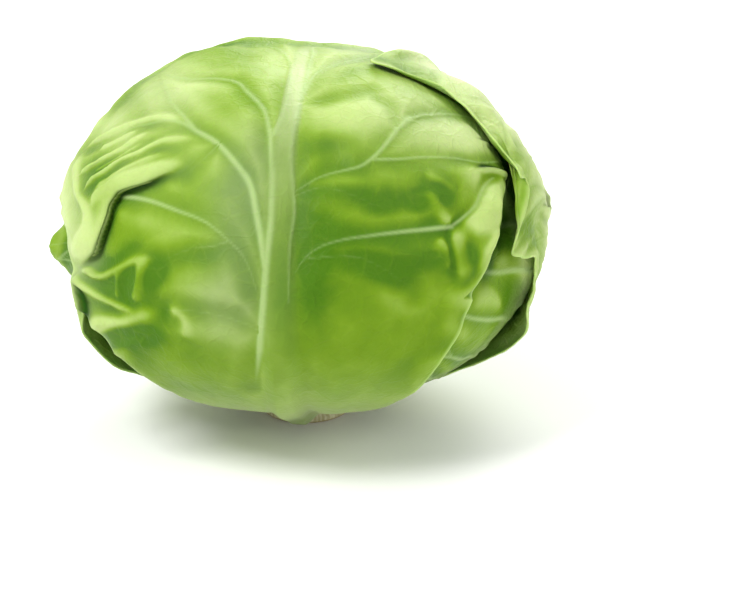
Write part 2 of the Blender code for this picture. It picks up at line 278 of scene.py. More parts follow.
def tongue_reach(leaf, s, t):
    """How far a tongue of the tip's margin stands out past the rest of it."""
    place, half_width, length = leaf.tongue
    rise = smoothstep((t - TONGUE_START) / (1.0 - TONGUE_START))
    return length * rise * smoothstep(1.0 - np.abs(s - place) / half_width)


def blade_to_flat(leaf, s, t):
    """Flat coordinates of the blade's own coordinates s and t, with a wandering margin."""
    x = s * half_width_at(leaf, t, s)
    low = base_line(s)
    y = low + t * (tip_line(leaf, s) - low) + tongue_reach(leaf, s, t)
    outward = np.maximum(np.abs(s), t) ** WANDER_SHARPNESS * smoothstep(t / WANDER_START)
    wander = MARGIN_WANDER * outward
    x = x + wander * flat_noise(x, y, MARGIN_WANDER_SIZE, leaf.seed)
    y = y + wander * flat_noise(x, y, MARGIN_WANDER_SIZE, leaf.seed + 1)
    return x, y


def lobe_shift(leaf, s, t):
    """How far lobes and notches of a margin move the blade's outer columns sideways."""
    shift = np.zeros(len(s))
    for name, side, rise, full, fall, end, amount in LOBES:
        if name == leaf.name:
            along = smoothstep((t - rise) / (full - rise)) * smoothstep((end - t) / (end - fall))
            shift += amount * side * along * smoothstep((s * side - LOBE_START) / LOBE_SPAN)
    return shift


def flat_to_blade(leaf, x, y):
    """The blade coordinates s and t of flat points, past 1 outside the margin."""
    t = (y - BASE_ARC) / (leaf.reach - BASE_ARC)
    for _ in range(BLADE_SOLVE_STEPS):
        s = x / half_width_at(leaf, t, x)
        near = np.clip(s, -1.0, 1.0)
        low = base_line(near)
        t = (y - low) / (tip_line(leaf, near) - low)
    return s, t


def margin_distance(leaf, s, t):
    """Distance in from the nearest margin, negative outside."""
    side = (1.0 - np.abs(s)) * half_width_at(leaf, t, s)
    length = leaf.reach - BASE_ARC
    return np.minimum(side, np.minimum((1.0 - t) * length, t * length))


def cover(leaf, direction, reach=COVER_REACH, fade=COVER_FADE):
    """1 wherever the leaf lies and a little past its margin, fading to 0 outside."""
    s, t = flat_to_blade(leaf, *to_flat(leaf, direction))
    return smoothstep((margin_distance(leaf, s, t) + reach + fade) / fade)


def rib_size(leaf, t):
    """Half width and height of the midrib at t, 0 at the base and 1 at the tip."""
    left = 1.0 - np.clip(t, 0.0, 1.0)
    half = RIB_TIP_HALF_WIDTH + (RIB_BASE_HALF_WIDTH - RIB_TIP_HALF_WIDTH) * left**RIB_NARROWING
    return half, leaf.rib * left**RIB_LOWERING


def rib_height(leaf, x, t, room):
    """How far the midrib lifts what lies over it. room is how much wider that lies."""
    half, tall = rib_size(leaf, t)
    return tall * np.cos(np.clip(x / (half * room), -1.0, 1.0) * math.pi / 2) ** 2


def layer_height(leaf, direction):
    """What one leaf adds under the leaves that lie over it."""
    x, y = to_flat(leaf, direction)
    s, t = flat_to_blade(leaf, x, y)
    rib = rib_height(leaf, x, t, RIB_BEND_ROOM) * RIB_PRESS
    return cover(leaf, direction) * (BLADE + GAP + rib)


def covered(leaf, direction, reach=COVER_REACH, fade=COVER_FADE):
    """1 where leaves further out press this leaf flat, 0 where it is free."""
    pressed = np.zeros(len(direction))
    for other in LEAVES[LEAVES.index(leaf) + 1 :]:
        pressed = np.maximum(pressed, cover(other, direction, reach, fade))
    return pressed


def stack_radius(leaf, direction):
    """Distance from the head's centre to a leaf's inner face where nothing lifts it."""
    radius = heart_radius(direction) + GAP
    for under in LEAVES[: LEAVES.index(leaf)]:
        radius = radius + layer_height(under, direction)
    return radius


def curl_height(leaf, x, y, s, t):
    """How far the margins stand off what lies under them."""
    width = half_width_at(leaf, t, s)
    side_curl = np.where(s < 0.0, leaf.left_curl, leaf.right_curl)
    side = smoothstep(1.0 - (1.0 - np.abs(s)) * width / CURL_WIDTH)
    side = side * smoothstep((t - CURL_START) / CURL_RISE)
    tip = smoothstep(1.0 - (1.0 - t) * leaf.reach / CURL_WIDTH)
    uneven = CURL_MEAN + CURL_UNEVENNESS * flat_noise(x, y, CURL_SIZE, leaf.seed + CURL_DRAW)
    tip_curl = np.interp(s, (-1.0, -TIP_MIDDLE, TIP_MIDDLE, 1.0), leaf.tip_curls)
    return np.maximum(side * side_curl, tip * tip_curl) * uneven


# %% [markdown]
# ## Lines on the leaves
#
# A cabbage leaf's look comes from lines: pale veins that fork from the midrib, ridges where the blade
# is gathered, and folds whose upper lip hangs over the lower side. On the front leaf they are placed
# by where they are seen in the picture: a ray from the camera through each pixel meets the head. On
# the other leaves a rule grows them. Either way, each point of a leaf then asks for its nearest line.

# %% From a pixel to the flat leaf
RAY_STEPS = 8


def pixels_to_flat(leaf, pixels):
    """Flat coordinates where rays through pixels of the picture meet a leaf's outer face."""
    turn = np.array(camera.rotation_quaternion.to_matrix())
    start = np.array(camera.location - HEAD_CENTRE)
    pixels = np.array(pixels, dtype=float)
    ray = np.stack(
        [
            pixels[:, 0] - PICTURE_WIDTH / 2,
            PICTURE_HEIGHT / 2 - pixels[:, 1],
            np.full(len(pixels), -float(LENS_PIXELS)),
        ],
        axis=-1,
    )
    ray = ray @ turn.T
    ray /= np.linalg.norm(ray, axis=1)[:, None]
    nearest = -ray @ start
    radius = np.full(len(pixels), ARC_RADIUS)
    for _ in range(RAY_STEPS):
        miss = np.sum((start + nearest[:, None] * ray) ** 2, axis=1)
        inward = np.sqrt(np.maximum(radius**2 - miss, 0.0))
        point = start + (nearest - inward)[:, None] * ray
        direction = point / np.linalg.norm(point, axis=1)[:, None]
        radius = stack_radius(leaf, direction) + BLADE
    return np.stack(to_flat(leaf, direction), axis=-1)


print("midrib passes", pixels_to_flat(FRONT_LEAF, [(272, 221), (291, 227)]).round(4).tolist())


# %% Lines as close-set points that can be searched
LINE_STEP = 0.0004


class Lines:
    """Smooth lines on a flat leaf, each with a width and a strength that taper along it."""

    def __init__(self):
        self.points = []
        self.facts = []

    def add(self, corners, widths, strengths=(1.0, 1.0)):
        """Rounds a line through its corners and stores points along it."""
        corners = np.array(corners, dtype=float)
        lengths = np.linalg.norm(np.diff(corners, axis=0), axis=1)
        where = np.concatenate([[0.0], np.cumsum(lengths)])
        count = max(4, int(where[-1] / LINE_STEP))
        along = np.linspace(0.0, where[-1], count)
        line = np.stack([rounded(where, corners[:, axis], along) for axis in (0, 1)], axis=-1)
        ahead = np.gradient(line, axis=0)
        ahead /= np.maximum(np.linalg.norm(ahead, axis=1), 1e-9)[:, None]
        share = along / where[-1]
        width = widths[0] + (widths[1] - widths[0]) * share
        strength = strengths[0] + (strengths[1] - strengths[0]) * share
        self.points.extend(line.tolist())
        self.facts.extend(np.column_stack([width, strength, ahead, share]).tolist())

    def nearest(self, x, y):
        """For each point: distance, side, width, strength, and share of the way along."""
        tree = kdtree.KDTree(len(self.points))
        for index, point in enumerate(self.points):
            tree.insert((point[0], point[1], 0.0), index)
        tree.balance()
        found = [tree.find((px, py, 0.0))[1] for px, py in zip(x.tolist(), y.tolist())]
        facts = np.array(self.facts)[found]
        offset = np.stack([x, y], axis=-1) - np.array(self.points)[found]
        distance = np.linalg.norm(offset, axis=1)
        side = np.sign(facts[:, 2] * offset[:, 1] - facts[:, 3] * offset[:, 0])
        return distance, side, facts


def rounded(where, values, along):
    """A curve through values, rounded at each one by a Catmull-Rom rule."""
    if len(values) > 2:
        slope = np.gradient(values, where)
    else:
        slope = np.full(2, np.diff(values)[0] / where[-1])
    index = np.clip(np.searchsorted(where, along, side="right") - 1, 0, len(where) - 2)
    span = where[index + 1] - where[index]
    u = (along - where[index]) / span
    start = values[index] * (2 * u**3 - 3 * u**2 + 1) + slope[index] * span * (u**3 - 2 * u**2 + u)
    end = values[index + 1] * (3 * u**2 - 2 * u**3) + slope[index + 1] * span * (u**3 - u**2)
    return start + end


# %% [markdown]
# ### The front leaf's own lines
#
# The tables give widths and heights in mm. A vein is about 1.4 mm wide where it is strong, and thins out
# towards its end. Where a vein begins faint, it fades in beside the midrib.

# %% Veins, ridges and folds of the front leaf
FRONT_VEINS = (
    # pixels along it, then its width at the start and at the end in mm
    (((261, 345), (265, 298), (268, 259), (272, 221), (273, 190), (272, 158), (271, 132)), 1.4, 1.2),
    (((261, 345), (259, 362), (256, 384)), 1.4, 0.1),
    (((271, 140), (265, 114), (249, 96), (239, 86), (220, 82), (180, 81), (166, 77)), 1.1, 0.9),
    (((289, 300), (289, 270), (290, 246), (294, 208), (293, 190), (291, 158), (295, 126)), 0.5, 1.2),
    (((295, 128), (300, 106), (304, 91), (308, 72), (312, 58), (321, 49), (334, 45)), 1.5, 1.0),
    (((275, 136), (283, 120), (286, 106), (290, 81), (290, 64), (284, 55), (265, 48), (252, 45)),
     1.3, 0.6),
    (((303, 98), (309, 86), (315, 77), (335, 67), (354, 62), (373, 59), (392, 61)), 1.1, 0.5),
    # left of the midrib
    (((267, 266), (263, 246), (257, 215), (250, 184), (237, 165), (220, 146), (198, 133)), 1.4, 1.2),
    (((198, 133), (186, 119), (174, 106), (168, 90), (164, 77)), 1.1, 0.6),
    (((198, 133), (186, 126), (168, 123), (148, 126), (129, 132), (114, 139), (100, 147)), 1.1, 0.6),
    (((258, 292), (250, 268), (242, 253), (230, 241), (208, 223), (179, 211), (147, 200), (122, 197)),
     0.4, 1.3),
    (((262, 330), (246, 322), (222, 314), (194, 309), (168, 307)), 0.5, 0.4),
    (((220, 146), (205, 160), (190, 172)), 0.6, 0.1),
    (((230, 241), (214, 246), (192, 249), (166, 260)), 0.6, 0.2),
    # right of the midrib
    (((296, 191), (322, 177), (341, 172), (358, 168), (373, 158), (385, 145), (396, 131), (409, 121)),
     0.5, 1.4),
    (((409, 121), (431, 116), (451, 111), (464, 112)), 0.9, 0.5),
    (((370, 161), (392, 161), (420, 159), (448, 159), (472, 161), (486, 155), (498, 151)), 0.9, 0.6),
    (((294, 196), (322, 188), (342, 192), (360, 199), (375, 206), (392, 204), (412, 203)), 0.5, 0.1),
    (((295, 272), (309, 254), (322, 246), (341, 240), (367, 236), (399, 232), (431, 229), (451, 227)),
     0.4, 1.3),
    (((451, 227), (459, 221), (469, 210), (475, 198), (486, 176)), 1.0, 0.7),
    (((309, 258), (335, 256), (360, 258), (385, 270), (413, 290)), 0.5, 0.2),
    (((300, 106), (322, 104), (345, 100), (370, 96)), 0.5, 0.1),
    (((396, 131), (388, 112), (372, 100)), 0.5, 0.1),
)
FRONT_RIDGES = (
    # pixels along it, its width, and its height at the start and at the end in mm
    (((90, 151), (112, 136), (132, 127), (148, 122), (161, 120), (174, 121), (186, 126)), 1.4, 2.4, 1.0),
    (((103, 153), (115, 145), (126, 139), (142, 132)), 1.2, 2.2, 0.8),
    (((84, 180), (104, 164), (112, 159), (128, 150), (140, 141), (155, 133)), 1.3, 2.9, 1.0),
    (((96, 177), (112, 167), (130, 155), (148, 144)), 1.1, 1.4, 0.6),
    (((84, 199), (100, 182), (110, 175), (126, 163), (144, 155), (161, 146), (185, 141), (204, 142)),
     1.4, 3.2, 0.8),
    (((97, 196), (114, 182), (134, 169), (155, 160), (180, 153)), 1.1, 1.6, 0.6),
    (((88, 216), (103, 195), (112, 187), (128, 177), (152, 169), (173, 164), (190, 166)), 1.5, 2.0, 1.2),
    (((90, 152), (85, 168), (84, 190), (87, 206), (82, 232), (73, 258)), 2.8, 1.6, 3.0),
    (((79, 262), (92, 267), (106, 274), (122, 269), (144, 259), (166, 261)), 1.8, 3.0, 1.0),
    (((153, 252), (148, 264), (146, 277), (143, 290), (139, 302)), 1.9, 2.2, 1.6),
    (((128, 260), (126, 273), (125, 286), (125, 300)), 1.6, 1.8, 1.2),
    (((79, 268), (88, 278), (97, 285), (120, 300), (134, 306), (146, 309)), 1.9, 3.0, 1.4),
    (((98, 324), (114, 318), (132, 318), (150, 312), (168, 306)), 3.2, 2.2, 0.8),
    (((112, 352), (130, 344), (144, 340), (162, 344)), 2.4, 1.8, 0.6),
    (((170, 306), (184, 312), (190, 322), (188, 336)), 2.2, 1.4, 0.6),
    (((423, 188), (433, 206), (443, 219), (451, 227)), 2.4, 1.0, 2.4),
    (((434, 236), (444, 248), (449, 270)), 1.7, 1.4, 0.6),
    (((492, 226), (488, 240), (481, 254), (474, 272)), 2.0, 1.8, 1.0),
    (((497, 186), (493, 200), (482, 216)), 1.5, 1.0, 0.4),
    (((478, 196), (480, 206), (476, 218)), 1.4, 0.8, 0.4),
    (((420, 176), (436, 182), (452, 192)), 2.0, 0.9, 0.4),
)
FRONT_FOLDS = (
    # pixels along the opening with the lip on its left, lip height at start and end, overhang and
    # the lip's back in mm, whether the opening is open at its start, and how dark it is
    # the darkness is painted shade in each fold's opening
    (((80, 264), (87, 256), (95, 247), (104, 233), (110, 219), (116, 204), (124, 194), (138, 188),
      (155, 183), (172, 177), (192, 171)), 5.6, 3.0, 4.6, 20.0, False, 1.0),
    (((97, 332), (97, 318), (97, 304), (94, 292), (88, 282), (82, 272)),
     4.5, 4.0, 2.4, 12.0, False, 1.0),
    (((487, 174), (475, 198), (468, 212), (459, 221), (449, 229)), 2.4, 2.4, 0.8, 15.0, False, 0.15),
    (((449, 222), (448, 240), (451, 259), (456, 284)), 2.4, 1.4, 0.6, 10.0, False, 0.15),
)
SHORT_FOLDS = (
    # folds where the front leaf's margin runs under the right leaf, given in the same way
    (((505, 176), (497, 168), (488, 164), (477, 164), (469, 169)), 2.2, 1.6, 1.0, 6.0, True, 1.1),
    (((490, 136), (480, 135), (464, 136)), 1.4, 0.9, 0.8, 4.0, True, 1.0),
)
RIGHT_FOLDS = (
    # the notch in the right leaf, given in the same way
    (((547, 201), (539, 205), (529, 210)), 2.2, 1.4, 1.4, 7.0, False, 0.5),
)
RIGHT_FOLD_HIDDEN = 0.007

# %% Patches of colour, painted shade and painted highlight
FRONT_GREEN_AND_SHADING = (
    # the front leaf's own deeper and paler greens, with painted shade and painted highlight laid in the
    # same patches
    # pixels of the middle, half width and half height in pixels, and how deep a green, pale below 0
    ((395, 262), 62, 26, 1.0),
    ((330, 225), 26, 22, 0.5),
    ((312, 265), 16, 60, 0.9),
    ((330, 150), 28, 16, 0.7),
    ((434, 196), 20, 22, 0.75),
    ((375, 190), 40, 14, 0.5),
    ((466, 262), 12, 16, 0.5),
    ((400, 88), 46, 24, -0.6),
    ((450, 136), 34, 18, -0.9),
    ((345, 122), 30, 20, -0.9),
    ((285, 60), 40, 22, -0.6),
    ((250, 58), 24, 14, 0.1),
    ((185, 95), 44, 24, -0.5),
    ((112, 128), 26, 14, -0.9),
    ((240, 122), 22, 16, -0.20),
    ((140, 152), 34, 18, -0.45),
    ((306, 170), 8, 40, 0.1),
    ((440, 290), 30, 12, -0.4),
    ((74, 200), 12, 40, -1.0),
    ((482, 208), 17, 34, -1.3),
    ((298, 92), 10, 30, -0.6),
    ((282, 285), 12, 60, 0.5),
    ((245, 200), 18, 60, 0.35),
    ((152, 224), 20, 12, -0.1),
    ((180, 225), 40, 24, -0.05),
    ((190, 190), 24, 14, 0.2),
    ((205, 260), 40, 14, 0.3),
    ((246, 292), 12, 20, 0.3),
    ((190, 292), 34, 12, -0.1),
    ((225, 322), 40, 22, -0.35),
    ((133, 282), 14, 14, 1.1),
    ((160, 276), 12, 12, 1.0),
    ((134, 334), 26, 10, 1.7),
    ((440, 272), 22, 12, -0.4),
    ((385, 215), 30, 12, 0.35),
    ((302, 200), 8, 40, 0.3),
    ((104, 262), 16, 8, 0.7),
    ((115, 320), 24, 9, -0.9),
)
UNDER_SHADOW_AND_LIGHT = (
    # the same for the leaf under the front leaf's right margin: painted shadow in the gap along that
    # margin, and a paler painted lit spot below the right leaf's flap
    ((510, 205), 12, 30, 1.6),
    ((498, 226), 6, 24, 1.0),
    ((489, 256), 6, 22, 1.0),
    ((518, 262), 16, 14, -1.2),
)
UNDER_SHADOWS = (
    # the same oval patches, and how dark the front leaf's margin makes them
    ((502, 222), 6, 14, 0.8),
    ((497, 243), 6, 12, 0.8),
    ((489, 260), 6, 12, 0.8),
    ((482, 276), 6, 12, 0.6),
)
UNDER_PAINTED_LIT = (
    # where that leaf is painted as lit: its painted shade and its midrib's paint are left out there
    ((518, 262), 20, 18, 1.5),
)
RIGHT_EDGE_HIGHLIGHT = (
    # a painted highlight along the right leaf's outer edge, paler than its green
    ((422, 66), 30, 12, -1.0),
    ((458, 90), 28, 14, -1.0),
    ((492, 122), 24, 16, -1.0),
    ((521, 160), 16, 26, -1.0),
    ((537, 205), 14, 30, -1.0),
    ((536, 245), 14, 20, -0.8),
)
FRONT_FROST_AND_GLARE = (
    # pixels of the middle, half width and half height in pixels, and how pale the bloom is; along the
    # top this is painted glare as well as bloom
    ((400, 92), 56, 26, 0.08),
    ((350, 54), 40, 8, 0.30),
    ((458, 136), 30, 20, 0.20),
    ((72, 195), 12, 50, 0.50),
    ((112, 128), 30, 18, 0.25),
    ((165, 80), 40, 12, 0.30),
    ((300, 54), 90, 12, 0.15),
    ((240, 170), 40, 60, 0.05),
)
RIGHT_FROST_AND_GLARE = (
    # pixels of the middle, the radius in mm, and how pale the bloom is; this is bloom and a painted
    # highlight along the right leaf's outer band
    ((425, 63), 14, 0.6),
    ((460, 84), 14, 0.6),
    ((495, 117), 14, 0.6),
    ((526, 155), 14, 0.6),
    ((542, 200), 14, 0.6),
    ((542, 240), 12, 0.5),
)
FRONT_BLOOM = (
    # pixels of the middle, half width and half height in pixels, and how grey the bloom is
    ((240, 210), 26, 70, 1.0),
    ((228, 305), 38, 40, 1.0),
    ((262, 160), 14, 40, 0.7),
    ((425, 120), 60, 26, 0.6),
    ((300, 200), 10, 50, 0.3),
    ((150, 100), 50, 20, 0.5),
)


# %% From the picture's lines to the flat leaf's
FULL_VEIN = 1.3
THINNEST_VEIN = 0.5


def in_metres(*sizes):
    """Sizes that a table gives in mm."""
    return [size * MILLIMETRE for size in sizes]


def vein_strengths(*widths):
    """How strongly a vein shows where it has these widths in mm."""
    return [min(1.0, width / FULL_VEIN) for width in widths]


front_veins = Lines()
for pixels, wide, thin in FRONT_VEINS:
    widths = in_metres(wide, max(thin, THINNEST_VEIN))
    front_veins.add(pixels_to_flat(FRONT_LEAF, pixels), widths, vein_strengths(wide, thin))
front_ridges = []
for pixels, width, *heights in FRONT_RIDGES:
    front_ridges.append((pixels_to_flat(FRONT_LEAF, pixels), width * MILLIMETRE, in_metres(*heights)))


def flat_folds(leaf, folds):
    """Folds on the flat leaf, in metres."""
    made = []
    for pixels, start, end, over, back, *rest in folds:
        over, back = in_metres(over, back)
        made.append((pixels_to_flat(leaf, pixels), in_metres(start, end), over, back, *rest))
    return made


front_folds = flat_folds(FRONT_LEAF, FRONT_FOLDS)
short_folds = flat_folds(FRONT_LEAF, SHORT_FOLDS)
right_folds = []
for corners, *rest in flat_folds(RIGHT_LEAF, RIGHT_FOLDS):
    # the fold runs on round the side, past what the picture shows
    onward = corners[0] - corners[1]
    hidden = corners[0] + onward * RIGHT_FOLD_HIDDEN / np.linalg.norm(onward)
    right_folds.append((np.vstack([hidden, corners]), *rest))
print("front leaf:", len(FRONT_VEINS), "veins", len(FRONT_RIDGES), "ridges", len(FRONT_FOLDS), "folds")


# %% From the picture's patches to the flat leaf's
PATCH_STEP = 0.3


def patches(leaf, spots, x, y):
    """Soft oval patches on a leaf, each placed by a pixel, summed."""
    total = np.zeros(len(x))
    for (column, row), half_wide, half_tall, amount in spots:
        beside = (column + half_wide * PATCH_STEP, row)
        above = (column, row - half_tall * PATCH_STEP)
        middle, side, top = pixels_to_flat(leaf, [(column, row), beside, above])
        wide = (side - middle) / PATCH_STEP
        tall = (top - middle) / PATCH_STEP
        offset = np.stack([x, y], axis=-1) - middle
        across = np.linalg.solve(np.stack([wide, tall], axis=-1), offset.T)
        total += amount * np.exp(-np.sum(across**2, axis=0))
    return total


def round_spots(leaf, spots, x, y):
    """Soft round spots on a leaf, each placed by a pixel, summed."""
    total = np.zeros(len(x))
    for pixel, radius, amount in spots:
        away = np.stack([x, y], axis=-1) - pixels_to_flat(leaf, [pixel])[0]
        total += amount * np.exp(-np.sum(away**2, axis=1) / (radius * MILLIMETRE) ** 2)
    return total


# %% Veins that a rule grows, for the leaves that the picture hardly shows
VEIN_DRAW = 100
VEIN_POINTS = 6
VEIN_LAST = 0.86
VEIN_REACH = 0.86
VEIN_BEND = 1.4
VEIN_CROWDING = 0.85
VEIN_SWAY = 0.002
VEIN_WIDTH = 0.0017
VEIN_THINNING = 0.0007
VEIN_END_WIDTH = 0.0007
VEIN_STRENGTHS = (1.0, 0.5)
FORKED_AT = (2, 3, 4)
FORK_POINTS = 4
FORK_REACH = 0.22
FORK_WIDTHS = (0.0008, 0.0004)
FORK_STRENGTHS = (0.7, 0.3)
INSIDE = 0.97
# The least value of a random draw, and how far it goes above that
FIRST_VEIN = (0.10, 0.03)
VEIN_RISE = (0.20, 0.06)
VEIN_GAP = (0.085, 0.04)
FORK_LEAN = (0.06, 0.05)


def drawn(draw, least, span):
    """One random value between least and least plus span."""
    return least + span * draw.random()


def grow_veins(leaf, lines):
    """Pairs of side veins that leave the midrib, bend towards the tip and fork."""
    draw = np.random.default_rng(leaf.seed + VEIN_DRAW)
    out = np.linspace(0.0, 1.0, VEIN_POINTS)
    for side in (-1.0, 1.0):
        start = drawn(draw, *FIRST_VEIN)
        while start < VEIN_LAST:
            t = start + out**VEIN_BEND * drawn(draw, *VEIN_RISE)
            s = side * np.linspace(0.0, VEIN_REACH, VEIN_POINTS) ** VEIN_CROWDING
            x, y = blade_to_flat(leaf, s, np.clip(t, 0.0, INSIDE))
            sway = VEIN_SWAY * draw.standard_normal(VEIN_POINTS) * out
            wide = VEIN_WIDTH - VEIN_THINNING * start
            lines.add(np.stack([x, y + sway], axis=-1), (wide, VEIN_END_WIDTH), VEIN_STRENGTHS)
            for fork in FORKED_AT:
                lean = drawn(draw, *FORK_LEAN)
                fork_s = s[fork] + side * np.linspace(0.0, FORK_REACH, FORK_POINTS)
                fork_t = np.clip(t[fork] + np.linspace(0.0, lean * 2, FORK_POINTS), 0.0, INSIDE)
                fork_x, fork_y = blade_to_flat(leaf, np.clip(fork_s, -INSIDE, INSIDE), fork_t)
                fork_x[0], fork_y[0] = x[fork], y[fork] + sway[fork]
                lines.add(np.stack([fork_x, fork_y], axis=-1), FORK_WIDTHS, FORK_STRENGTHS)
            start += drawn(draw, *VEIN_GAP)


# %% [markdown]
# ## Relief
#
# All that lifts a leaf's skin off its plain curve is summed here: the raised midrib, the swollen blade
# between the veins, ridges, the folds with their lips, and the curling margin. A lip also slides
# sideways over its fold, so it truly overhangs. Where an outer leaf presses on the blade, the relief
# dies away.

# %% Relief of a leaf
DEPTH_SIZE = 0.042
SHADE_REACH = 0.007
PUCKER_REACH = (0.003, 0.008)
SHORT_REACH = (0.001, 0.004)
SWELLS = {
    # for each leaf, pixels of the middle, the radius in mm, and how far out it swells in metres
    "leaf_front": (((176, 66), 18, 0.0020),),
    "leaf_right": (((495, 118), 22, 0.0013), ((534, 165), 22, 0.0008), ((541, 230), 24, 0.0022)),
}
# Where two leaves poke out past the front leaf: the pixel, the size across and along the leaf, the
# height, and how the front leaf's cover is cut back there
LEFT_POKE = ((60, 247), (0.0056, 0.0105), 0.0074, (-0.006, 0.003))
UNDER_POKE = ((519, 262), (0.0070, 0.0170), 0.0060, (0.000, 0.005))
BULGE_HEIGHT = 0.0009
BULGE_WIDTH = 0.0090
BULGE_SIZE = 0.018
BULGE_UNEVENNESS = 0.6
CURL_ROLL = 0.30
ROLL_REACH = 0.008
RIPPLE_HEIGHT = 0.0009
RIPPLE_SIZE = 0.0095
RIPPLE_REACH = 0.012
RIPPLE_RISE = 0.4
MARGIN_BLADE = 0.0006
MARGIN_TAPER = 0.006
PRESSED_SHARE = 0.75
HOLLOW_CELLS = 4
HOLLOW_ROUNDS = 3
HOLLOW_DEPTH = 0.00055
# What each kind of noise adds to a leaf's seed
SWELL_DRAW = 60
BULGE_DRAW = 70
RIPPLE_DRAW = 80
DEPTH_DRAW = 90
BLOOM_DRAW = 91
# The midrib's flat band and the reach of its paint, as shares of its half width, then where along the
# front leaf that paint is faint
RIB_FLAT = 0.25
RIB_SHOULDER = 0.75
RIB_PAINTED = 0.45
RIB_PAINT_FADE = 0.6
RIB_FAINTEST = 0.15
RIB_UPPER_START = 0.38
RIB_UPPER_RISE = 0.25
RIB_LOWER_END = 0.2
RIB_LOWER_FADE = 0.15
DEPTH_NOISE = 0.8
NOISE_SHARES = {
    # how much of the noise is left in the depth of the green and in the bloom
    "leaf_front": (0.25, 0.12),
    "leaf_under_right": (1.0, 0.2),
    "leaf_right": (0.3, 0.5),
}

# %% Crests and folds
# A ridge's crest, then how a fold's lip rises, where it opens and closes along its line, how far it is
# pushed over, and how far its darkness reaches on either side
CREST_ROUNDNESS = 0.35
CREST_WIDTHS = 4.0
CREST_FADE = 2.0
RIDGE_END = 0.24
RIDGE_END_START = 0.05
LIP_EDGE = 0.0034
LIP_EDGE_SHARE = 0.3
LOW_SHARE = 0.10
FOLD_REACH = 1.2
FOLD_OPENING = 0.30
FOLD_OPENING_START = 0.1
FOLD_CLOSING = 0.28
FOLD_CLOSING_START = 0.02
PUSH_SHARE = 0.75
# How far the painted shade in a fold's opening reaches above and below it
DARK_ABOVE = 0.9
DARK_BELOW = 0.70


def bell(distance, width):
    """1 on a line and 0 a little past its width."""
    return np.exp(-((distance / width) ** 2))


def crest(distance, width):
    """A sharp crest with hollow flanks, 1 on a line and 0 at four widths."""
    share = distance / width
    height = np.exp(CREST_ROUNDNESS - np.sqrt(share**2 + CREST_ROUNDNESS**2))
    return height * smoothstep((CREST_WIDTHS - share) / CREST_FADE)


def close_to(corners, x, y, reach):
    """Which points lie near a line's box, so that only they are searched."""
    low = corners.min(axis=0) - reach
    high = corners.max(axis=0) + reach
    return (x > low[0]) & (x < high[0]) & (y > low[1]) & (y < high[1])


def ridge_relief(ridges, x, y):
    """Height of ridges that meet and part, each a sharp crest along its line."""
    squares = np.zeros(len(x))
    for corners, width, heights in ridges:
        near = close_to(corners, x, y, width * CREST_WIDTHS)
        line = Lines()
        line.add(corners, (width, width), heights)
        distance, _, facts = line.nearest(x[near], y[near])
        from_end = np.minimum(facts[:, 4], 1.0 - facts[:, 4])
        ends = smoothstep(from_end / RIDGE_END + RIDGE_END_START)
        squares[near] += (facts[:, 1] * crest(distance, width) * ends) ** 2
    return np.sqrt(squares)


def fold_relief(folds, x, y):
    """Height, sideways slide and painted shade of folds whose lip hangs over the lower side."""
    height = np.zeros(len(x))
    slide = np.zeros((len(x), 2))
    dark = np.zeros(len(x))
    for corners, lips, over, back, open_start, darkness in folds:
        near = close_to(corners, x, y, back * FOLD_REACH)
        line = Lines()
        line.add(corners, (1.0, 1.0), lips)
        distance, side, facts = line.nearest(x[near], y[near])
        share = facts[:, 4]
        opening = smoothstep(share / FOLD_OPENING + FOLD_OPENING_START)
        closing = smoothstep((1.0 - share) / FOLD_CLOSING + FOLD_CLOSING_START)
        open_here = np.maximum(float(open_start), opening) * closing
        edge = min(LIP_EDGE, back * LIP_EDGE_SHARE)
        behind = smoothstep((back - distance) / (back - edge))
        above = (side > 0.0) * np.sin(np.clip(distance / edge, 0.0, 1.0) * math.pi / 2) * behind
        below = (side < 0.0) * smoothstep(distance / edge) * behind
        height[near] += facts[:, 1] * open_here * (above + LOW_SHARE * below)
        push_back = back * PUSH_SHARE
        push = over * open_here * (side > 0.0) * smoothstep(distance / edge)
        push = push * smoothstep((push_back - distance) / (push_back - edge))
        across = np.stack([facts[:, 3], -facts[:, 2]], axis=-1)
        slide[near] += across * push[:, None]
        reach = edge * np.where(side > 0.0, DARK_ABOVE, DARK_BELOW)
        dark[near] = np.maximum(dark[near], darkness * open_here * bell(distance, reach))
    return height, slide, dark


# %% Softened heights, and hollows
def softened(values, shape, cells, times):
    """Values on a grid, each made the mean of those up to some cells away, some times over."""
    grid = values.reshape(shape)
    width = 2 * cells + 1
    for axis in (0, 1) * times:
        pad = [(0, 0), (0, 0)]
        pad[axis] = (cells + 1, cells)
        total = np.cumsum(np.pad(grid, pad, mode="edge"), axis=axis)
        high = np.take(total, range(width, total.shape[axis]), axis=axis)
        grid = (high - np.take(total, range(total.shape[axis] - width), axis=axis)) / width
    return grid.ravel()


# Hollows of the relief get painted shade, and crests painted highlight, from this
def hollowness(height, shape):
    """1 in hollows and -1 on crests: how far the mean height round a point is above it."""
    mean = softened(height, shape, HOLLOW_CELLS, HOLLOW_ROUNDS)
    return np.tanh((mean - height) / HOLLOW_DEPTH)


# %% Leaves that poke out, and the midrib
def poke_out(leaf, poke, x, y, direction):
    """1 where an under leaf pokes out past the front leaf's margin, fading to 0, and its lift."""
    pixel, size, height, clear = poke
    away = (np.stack([x, y], axis=-1) - pixels_to_flat(leaf, [pixel])[0]) / size
    bump = np.exp(-np.sum(away**2, axis=1))
    return bump, height * bump * (1.0 - cover(FRONT_LEAF, direction, *clear))


